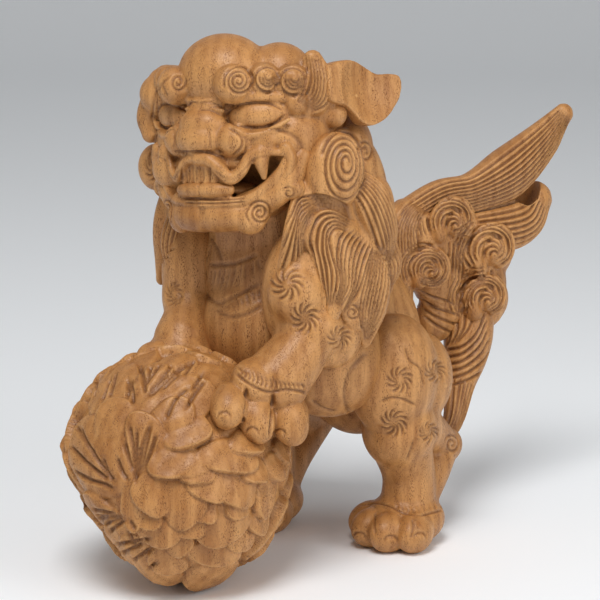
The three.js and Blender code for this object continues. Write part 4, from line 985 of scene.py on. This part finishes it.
# Each hanging lock from the cheek backwards: its line and its half widths.
MANE_LOCKS = [
    ([(37.2, 35.6, 154.8), (39.3, 29.6, 139.7), (35.5, 25.4, 127.1)], [7.2, 8.6, 4.5]),
    ([(41.4, 45.5, 149.8), (43.8, 41.5, 133), (46.0, 41.0, 119.0), (48.0, 38.0, 108.0)],
     [9.0, 10.4, 8.6, 3.6]),
    ([(43.0, 49.0, 140.0), (45.0, 48.5, 126.7), (45.8, 52.0, 117.3), (46.4, 46.5, 106.5)],
     [7.5, 7.8, 7.8, 3.4]),
    ([(42.2, 55.5, 139.7), (45.6, 60.5, 122.9), (45.6, 62.5, 107.8), (43, 61.5, 92.7)], [8.1, 9.0, 7.8, 3.2]),
    ([(41.4, 68.0, 133), (43.9, 72.0, 121.2), (42.2, 74.0, 111.2)], [8.1, 7.7, 3.2])]
LOCK_THIN, UPWARD = 0.6, (0, 0, 1)
MANE_BLOCK, MANE_PAD = ((35.5, 55.4, 143), (10.8, 24, 33.6)), ((43.2, 53.5, 105.0), (5.8, 7.6, 8.0))
# Each snail curl: its middle, its half sizes and the way it faces.
MANE_CURLS = [((43.2, 43.4, 161.5), (15.2, 12.4, 7.5), (0.96, -0.28, 0)),
              ((41.4, 67.5, 143.1), (14.3, 11, 7.5), (1, 0.5, 0)),
              ((33, 64.4, 168.3), (12.0, 11.5, 7.5), (1, 0.9, 0.2))]
mane_base = [lump(*MANE_BLOCK)] + [sweep(line, sizes, LOCK_THIN) for line, sizes in MANE_LOCKS]
mane_base.append(lump(*MANE_PAD))
mane_curls = [lump(*form, UPWARD) for form in MANE_CURLS] + [sweep(S_LOCK, S_LOCK_SIZES, S_LOCK_THIN)]
left_mane = shaped("carved_left_mane", mane_base, voxel=1.0, soften=4)
left_mane = shaped("carved_left_mane", mane_curls, voxel=0.55, soften=1, onto=left_mane)
mane_cuts = Gouge(left_mane)
CHEEK_COIL, CHEEK_COIL_HALF, CHEEK_COIL_CORE = (343, 168), (23, 38), (348, 162)
CHEEK_COIL_CUT, FAN_CUT, FAN_STRANDS, LOCK_CUT = (1.8, 1.2), (1.7, 1.6), (8, 6), (1.7, 1.5)
cheek_coil = coil(CHEEK_COIL, CHEEK_COIL_HALF, turns=4.6, core=CHEEK_COIL_CORE, start=200)
mane_cuts.draw(cheek_coil, *CHEEK_COIL_CUT, steps=2)
FAN_EDGES = [
    [(351, 209), (338, 201), (322, 196), (308, 196), (298, 199), (289, 217), (277, 240), (263, 260)],
    [(354, 220), (341, 212), (328, 208), (315, 213), (305, 236), (308, 256), (314, 280), (324, 310)],
    [(349, 232), (341, 228), (334, 230), (330, 240), (333, 256), (338, 278), (332, 309)]]
for first, last, count in zip(FAN_EDGES, FAN_EDGES[1:], FAN_STRANDS):
    mane_cuts.fill(first, last, count, FAN_CUT, steps=2, points=20)
# Each lock: its two edges and its strands.
LOCK_EDGES = [
    ([(350, 229), (341, 238), (338, 258), (342, 282), (335, 307)],
     [(374, 247), (367, 268), (360, 290), (346, 311)], 8),
    ([(375, 249), (368, 276), (361, 306), (364, 342)], [(391, 250), (392, 285), (385, 315), (369, 343)], 9)]
for first, last, count in LOCK_EDGES:
    mane_cuts.fill(first, last, count, LOCK_CUT)
mane_cuts.comb(*MANE_LOCKS[-1], LOCK_THIN, OUTWARD, count=7, width=1.7, depth=1.1, faces=(1,))
mane_cuts.comb(S_LOCK, S_LOCK_SIZES, S_LOCK_THIN, OUTWARD, count=9, width=1.6, depth=1.1, faces=(1,))
# Each small curl: its middle in the picture, its half size, its turns and its cut.
SMALL_COILS = [((366, 152), (8, 12), 1.8, (1.6, 1.0)), ((353, 313), 9, 1.9, (1.5, 0.9))]
for middle, half, turns, curl_cut in SMALL_COILS:
    mane_cuts.draw(coil(middle, half, turns, start=180), *curl_cut, steps=2)
mane_cuts.finish()
MANE_MIDDLE = -0.6


def other_mane(points):
    return points * MIRRORED + [2 * MANE_MIDDLE, 0, 0]


# Forms carried to the other side, with their faces turned outwards again.
def turned(forms, place):
    return [(place(points), [face[::-1] for face in faces]) for points, faces in forms]


RIGHT_LOCK = [(-25, 41, 156), (-27, 33, 140), (-28.5, 28, 126), (-28.5, 28, 114)]
RIGHT_LOCK_SIZES, RIGHT_LOCK_THIN, RIGHT_LOCK_OUT = [5.5, 7.2, 7.2, 3.2], 0.75, (0.7, -0.7, 0)
CHEEK_CURL, CHEEK_CURL_SIZE, FRONT_LOCK_REACH = (-43.5, 30.5, 155), (7.5, 7.5, 9.5), 41.0
CHEEK_MARK, CHEEK_MARK_HALF = (153, 166), (9, 16)
right_base = turned(mane_base[:1] + mane_base[2:], other_mane)
right_curls = turned(mane_curls, other_mane) + [lump(CHEEK_CURL, CHEEK_CURL_SIZE)]
right_curls.append(sweep(RIGHT_LOCK, RIGHT_LOCK_SIZES, RIGHT_LOCK_THIN, RIGHT_LOCK_OUT))
right_mane = shaped("carved_right_mane", right_base, voxel=1.0, soften=4)
right_mane = shaped("carved_right_mane", right_curls, voxel=0.55, soften=1, onto=right_mane)
right_mane_cuts = Gouge(right_mane)
rear_lines = [line for line in mane_cuts.lines if line[0][:, 1].mean() > FRONT_LOCK_REACH]
right_mane_cuts.repeat(rear_lines, other_mane)
right_mane_cuts.comb(RIGHT_LOCK, RIGHT_LOCK_SIZES, RIGHT_LOCK_THIN, RIGHT_LOCK_OUT, count=8)
for stroke in pinwheel(CHEEK_MARK, CHEEK_MARK_HALF, strokes=7, bend=110.0):
    right_mane_cuts.draw(stroke, *PINWHEEL_CUT, steps=2)
right_mane_cuts.finish()
for mane in (left_mane, right_mane):
    mane.data.materials.append(carved_wood)
    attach(mane, "root")
    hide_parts(mane.name.removeprefix("carved_"))

# Nape mane. A block of the same wood glued down the back of the neck: three long locks combed side by side
# from the crown to between the shoulders.
NAPE_DOWN = [(64.0, 181.0), (70.5, 165.0), (78.0, 142.0), (88.0, 111.0)]
NAPE_ACROSS = (-0.6, 14.6, -15.8)
NAPE_BLOCK, NAPE_SIZES = ((-0.6, 59.0, 155.2), (30.5, 18.0, 33.5)), [10, 11, 10.5, 5]
nape_forms = [sweep([(across, y, z) for y, z in NAPE_DOWN], NAPE_SIZES) for across in NAPE_ACROSS]
nape = shaped("carved_nape_mane", [lump(*NAPE_BLOCK)] + nape_forms, voxel=0.75, soften=5)
nape_cuts = Gouge(nape)
NAPE_STRANDS, NAPE_POINTS, NAPE_BEHIND, NAPE_CUT = np.linspace(-10, 10, 8), 26, 14, (2.0, 1.1)
nape_taper = np.linspace(0.9, 0.35, NAPE_POINTS)
for across in NAPE_ACROSS:
    for strand in NAPE_STRANDS:
        nape_cuts.lay([(across + strand * share, y + NAPE_BEHIND, z) for (y, z), share in
                       zip(evenly(NAPE_DOWN, NAPE_POINTS), nape_taper)], *NAPE_CUT)
# The first and the last strand beside the locks, on the left.
NAPE_FRONT_EDGE = np.array([(40, 62, 176), (40, 66, 158), (36, 74, 130)])
NAPE_REAR_EDGE = np.array([(40, 82, 170), (40, 86, 152), (36, 92, 126)])
NAPE_ROWS, NAPE_STEPS, NAPE_SIDE_CUT = np.linspace(0, 1, 9), 8, (2.0, 1.0)
for side in (-1, 1):
    for row in NAPE_ROWS:
        strand = NAPE_FRONT_EDGE + (NAPE_REAR_EDGE - NAPE_FRONT_EDGE) * row
        nape_cuts.lay(curve(strand * [side, 1, 1], NAPE_STEPS), *NAPE_SIDE_CUT)
nape_cuts.finish()
nape.data.materials.append(carved_wood)
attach(nape, "root")
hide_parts("nape_mane")

# Ears. A smooth leaf-shaped flap of the same wood behind each temple, slightly hollowed on its upper face.
# Each is carved on its own, laid back along the head and held by a peg.
EAR_OUTLINE = [
    (322, 66), (336, 61), (351, 61), (364, 67), (376, 74), (386, 74), (394, 76), (397, 85), (394, 101),
    (383, 118), (369, 126), (358, 123), (352, 115), (344, 107), (332, 104), (324, 98)]
EAR_PLANE = on_head([(39.2, -10.5, 23.0), (49.3, 20.0, 12.8), (46.0, 3.5, -1.5)])
EAR_HALF_THICK, RIM_STEPS = 3.4, 4
EAR_STALK, EAR_STALK_SIZE = (36.5, -7.0, 12.6), (6, 6, 6)
HOLLOW_TOWARDS, HOLLOW_SHIFT, HOLLOW_DEPTH, HOLLOW_RADIUS = 18, 0.2, 3.4, 14.5
ear_facing = unit(np.cross(EAR_PLANE[1] - EAR_PLANE[0], EAR_PLANE[2] - EAR_PLANE[0]))
ear_facing *= np.sign(ear_facing @ towards_eye)
rim_rays = [sight(*pixel) for pixel in curve(EAR_OUTLINE + EAR_OUTLINE[:1], RIM_STEPS)[:-1]]
rim = np.array([eye + ray * ((EAR_PLANE[0] - eye) @ ear_facing) / (ray @ ear_facing) for ray in rim_rays])
count = len(rim)
ear_faces = [tuple(range(count)), tuple(range(2 * count - 1, count - 1, -1))]
ear_faces += [(i, i + count, (i + 1) % count + count, (i + 1) % count) for i in range(count)]
ear_plate = (np.vstack([rim + ear_facing * EAR_HALF_THICK, rim - ear_facing * EAR_HALF_THICK]), ear_faces)
ear_forms = [ear_plate, head_lump(EAR_STALK, EAR_STALK_SIZE)]
left_ear = shaped("carved_left_ear", ear_forms, voxel=0.5, soften=24)
points = mesh_of(left_ear)
hollow_at = rim.mean(0) + (rim[HOLLOW_TOWARDS] - rim.mean(0)) * HOLLOW_SHIFT
over = (points - hollow_at) @ ear_facing
away = np.linalg.norm((points - hollow_at) - np.outer(over, ear_facing), axis=1)
scoop_depth = HOLLOW_DEPTH * np.maximum(0, 1 - (away / HOLLOW_RADIUS) ** 2)
put_back(left_ear, points - np.outer((over > 0) * scoop_depth, ear_facing))
left_ear.data.materials.append(carved_wood)
right_ear = left_ear.copy()
right_ear.data = left_ear.data.copy()
right_ear.name = right_ear.data.name = "carved_right_ear"
bpy.context.scene.collection.objects.link(right_ear)
right_ear.data.flip_normals()
put_back(right_ear, other_cheek(mesh_of(left_ear)))
for ear in (left_ear, right_ear):
    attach(ear, "root")
    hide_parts(ear.name.removeprefix("carved_"))

# Tail. An upright plume dowelled to the rump: a stem with four scroll curls, a flame lock that sweeps up and
# back, a scooped lock behind it and a lock that hangs down to the hock.
TAIL_ROOT, TAIL_RISE, TAIL_REACH, TAIL_DRIFT = np.array([0.0, 118.0, 80.0]), 86.0, 95.0, 19.0
tail_back, tail_side = np.array([0.208, 0.978, 0.0]), np.array([0.978, -0.208, 0.0])
SCROLL_POINTS, SCROLL_TIGHTENS, SCROLL_LIFT, SCROLL_TAPER = 12, 0.38, 1.5, 0.35


# A place on the tail, by shares of its reach back, its rise and its drift to the side.
def on_tail(reach, rise, drift=0.0):
    return (TAIL_ROOT + np.array([0, 0, TAIL_RISE * rise]) + tail_back * TAIL_REACH * reach
            + tail_side * TAIL_DRIFT * drift)


def tail_sweep(places, radii):
    return sweep([on_tail(*place) for place in places], radii, side=tail_side)


def other_side(path):
    return path - np.outer((path - TAIL_ROOT) @ tail_side, tail_side) * 2


def scroll_line(size, turns, start):
    share = np.linspace(0, 1, int(SCROLL_POINTS * turns))
    angle = math.radians(start) + 2 * np.pi * turns * share
    tightness = 1 - SCROLL_TIGHTENS * share ** 2
    return np.column_stack([np.cos(angle), np.sin(angle)]) * (size * tightness)[:, None]


# A raised scroll on the tail's near side, thinner towards its core.
def scroll(at, size, turns, thick, start):
    ring = scroll_line(size, turns, start)
    share = np.linspace(0, 1, len(ring))
    points = at + np.outer(ring[:, 0], tail_back) - np.outer(ring[:, 1], UPWARD)
    points = points + np.outer(share * SCROLL_LIFT, tail_side)
    return sweep(points, thick * (1 - SCROLL_TAPER * share), side=tail_side, steps=3)


def hollowed(piece, form):
    cutter = shaped("cutter", [form], voxel=1.0, soften=1)
    bpy.context.view_layer.objects.active = piece
    scoop = piece.modifiers.new("Scoop", "BOOLEAN")
    scoop.operation, scoop.object = "DIFFERENCE", cutter
    bpy.ops.object.modifier_apply(modifier="Scoop")
    bpy.data.objects.remove(cutter)
    return piece


# Each stem: its line on the tail and its radii.
TAIL_STEMS = [([(0.02, -0.06), (0.02, 0.2), (0.04, 0.42), (0.12, 0.54)], [10.5, 10.5, 11, 10]),
              ([(0.1, 0.5), (0.32, 0.4), (0.52, 0.24), (0.53, 0.06)], [10, 11, 10.5, 10])]
# Each pad under the curls: its place on the tail, its radius and its half thickness.
TAIL_PADS = [
    (0.29, 0.22, 12, 8.5), (0.37, 0.10, 11, 8.5), (0.27, 0.03, 10, 8.0), (0.34, 0.49, 13.2, 9.5),
    (0.21, 0.29, 10.5, 9.5), (0.55, 0.34, 13.2, 9.5), (0.54, 0.1, 11.8, 9.5)]
tail_forms = [tail_sweep(*stem) for stem in TAIL_STEMS]
tail_forms += [lump(on_tail(reach, rise), (size, size, thick), tail_side, UPWARD)
               for reach, rise, size, thick in TAIL_PADS]
tail = shaped("carved_tail", tail_forms, voxel=1.0, soften=4)
# Each scroll: its middle in the picture, ring radius in mm, turns, where it starts.
TAIL_SCROLLS = [((452, 222), 8.8, 0.80, 150), ((429, 270), 7.2, 0.95, 150), ((491, 250), 10.2, 0.80, 135),
                ((485, 298), 8.6, 0.80, 140)]
CURL_THICK, KNOB_SHARE, KNOB_HIGH, RIPPLE_TURNS, PIXELS_PER_MM = 3.8, 0.66, 7.5, 0.5, 2.5
# The crest on each knob: nested hooks, each a share of the knob across and shifted towards its low side.
CREST_SHARES, CREST_SHIFT = (1.0, 0.78, 0.56, 0.34), np.array([0.35, 0.6])
CREST_TURNS, CREST_START = 0.62, 160
scrolls = []
for pixel, size, turns, start in TAIL_SCROLLS:
    at = seen_at(tail, pixel)[0]
    knob = lump(at, (size * KNOB_SHARE, size * KNOB_SHARE, KNOB_HIGH), tail_side, UPWARD)
    near_forms = [scroll(at + tail_side, size, turns, CURL_THICK, start), knob]
    scrolls += near_forms + turned(near_forms, other_side)
tail = shaped("carved_tail", scrolls, voxel=0.55, soften=4, onto=tail)
tail_cuts = Gouge(tail)
RING_SHARES, SCROLL_CUT = (0.72, 0.92, 1.12, 1.32), (1.6, 1.3)
RIPPLE_SHARES, RIPPLE_CUT = (1.52, 1.72), (1.6, 1.2)
CREST_CUT, COMB_CUT = (1.7, 1.4), (1.7, 1.4)
for pixel, size, turns, start in TAIL_SCROLLS:
    middle, half = np.asarray(pixel), size * PIXELS_PER_MM
    for share in RING_SHARES:
        tail_cuts.draw(middle + scroll_line(half * share, turns, start), *SCROLL_CUT, steps=2)
    for share in RIPPLE_SHARES:
        tail_cuts.draw(middle + scroll_line(half * share, RIPPLE_TURNS, start), *RIPPLE_CUT, steps=2)
    knob_half = half * KNOB_SHARE
    for share in CREST_SHARES:
        hook = scroll_line(knob_half * share, CREST_TURNS, CREST_START)
        hook = hook + CREST_SHIFT * knob_half * (1 - share)
        tail_cuts.draw(middle + hook, *CREST_CUT, steps=2)
# Each patch of combed hair: its two edges and its strands.
TAIL_COMBS = [
    ([(396, 258), (396, 228), (408, 204), (432, 193), (456, 191)],
     [(420, 252), (418, 231), (425, 213), (438, 203), (452, 198)], 8),
    ([(453, 282), (454, 252), (463, 229), (478, 217), (500, 214)],
     [(463, 282), (464, 256), (471, 237), (483, 227), (500, 223)], 4),
    ([(456, 314), (459, 294), (471, 279), (488, 275)],
     [(466, 316), (468, 298), (476, 287), (488, 283)], 4),
    ([(418, 290), (432, 297), (446, 301), (458, 306)],
     [(424, 316), (436, 325), (448, 331), (458, 335)], 4),
    ([(476, 205), (496, 206), (520, 215)],
     [(479, 213), (500, 212), (523, 228)], 3),
    ([(401, 279), (400, 305), (403, 326)],
     [(410, 287), (409, 305), (410, 326)], 4)]
for first, last, count in TAIL_COMBS:
    tail_cuts.fill(first, last, count, COMB_CUT)
tail_cuts.repeat(tail_cuts.lines, other_side)
tail_cuts.finish()
FLAME_PLACES = [(0.06, 0.52), (0.28, 0.62), (0.46, 0.64), (0.655, 0.715), (0.84, 0.85), (0.98, 0.99)]
FLAME_SIZES, FLAME_THIN = [8.5, 8.8, 8.9, 11.6, 9.0, 4.8], 0.8
flame_line = [on_tail(*place) for place in FLAME_PLACES]
flame_form = sweep(flame_line, FLAME_SIZES, FLAME_THIN, tail_side)
flame = shaped("carved_tail_flame", [flame_form], voxel=0.55, soften=3)
flame_cuts = Gouge(flame)
flame_cuts.comb(flame_line, FLAME_SIZES, FLAME_THIN, tail_side, count=11, width=1.8, depth=1.5)
flame_cuts.finish()
REAR_PLACES, REAR_SIZES = [(0.45, 0.46), (0.64, 0.46), (0.75, 0.49), (0.82, 0.57)], [9.4, 11.6, 11.3, 8.6]
REAR_THIN, SCOOP_AT, SCOOP_SIZE, SCOOP_OUT = 0.85, (0.755, 0.625), (7.4, 7.4, 11), (0.1, 0.35, 1.0)
rear_line = [on_tail(*place) for place in REAR_PLACES]
rear_form = sweep(rear_line, REAR_SIZES, REAR_THIN, tail_side)
rear_lock = shaped("carved_tail_rear_lock", [rear_form], voxel=0.9, soften=3)
rear_lock = hollowed(rear_lock, lump(on_tail(*SCOOP_AT), SCOOP_SIZE, SCOOP_OUT, tail_back))
rear_lock = shaped("carved_tail_rear_lock", [], voxel=0.55, soften=1, onto=rear_lock)
rear_cuts = Gouge(rear_lock)
rear_cuts.comb(rear_line, REAR_SIZES, REAR_THIN, tail_side, count=9, width=1.8, depth=1.4)
rear_cuts.finish()
HANGING_PLACES = [(0.46, 0.05, 0.1), (0.43, -0.07, 0.2), (0.40, -0.17, 0.3), (0.34, -0.28, 0.5),
                  (0.27, -0.42, 0.8), (0.19, -0.52, 1.0)]
HANGING_SIZES, HANGING_THIN, TIP_FROM = [10.4, 11.0, 9.6, 7.2, 5.0, 3.8], 0.9, 3
hanging_line = [on_tail(*place) for place in HANGING_PLACES]
hanging_form = sweep(hanging_line, HANGING_SIZES, HANGING_THIN, tail_side)
hanging_lock = shaped("carved_tail_hanging_lock", [hanging_form], voxel=0.55, soften=3)
hanging_cuts = Gouge(hanging_lock)
hanging_cuts.comb(hanging_line[TIP_FROM:], HANGING_SIZES[TIP_FROM:], HANGING_THIN, tail_side, count=7)
# Each patch of strands across the lock: its two edges, its strands and its cut.
HANGING_STRANDS = [
    ([(486, 312), (478, 332), (463, 346), (446, 350)], [(492, 358), (484, 370), (468, 380), (446, 386)],
     6, (1.9, 1.5)),
    ([(448, 322), (450, 335), (446, 347)], [(474, 306), (470, 326), (456, 343)], 4, (1.7, 1.3))]
for patch in HANGING_STRANDS:
    hanging_cuts.fill(*patch)
hanging_cuts.repeat(hanging_cuts.lines, other_side)
hanging_cuts.finish()
for piece in (tail, flame, rear_lock, hanging_lock):
    piece.data.materials.append(carved_wood)
    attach(piece, "root")
    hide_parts(piece.name.removeprefix("carved_"))

# Dowels and pegs. Plain turned hardwood pins, paler than the carving, each glued into holes in two blocks
# and hidden in their joint.
dowel_wood = wood(
    "dowel_wood", light=(0.60, 0.40, 0.20), dark=(0.48, 0.29, 0.13), pore=(0.30, 0.16, 0.07),
    groove_shade=(0.30, 0.16, 0.07), ridge_wear_and_highlight=(0.60, 0.40, 0.20), pores_per_m=900.0)
for name, node in frame["nodes"].items():
    if name.endswith(("_dowel", "_peg")):
        node.data.materials.clear()
        node.data.materials.append(dowel_wood)
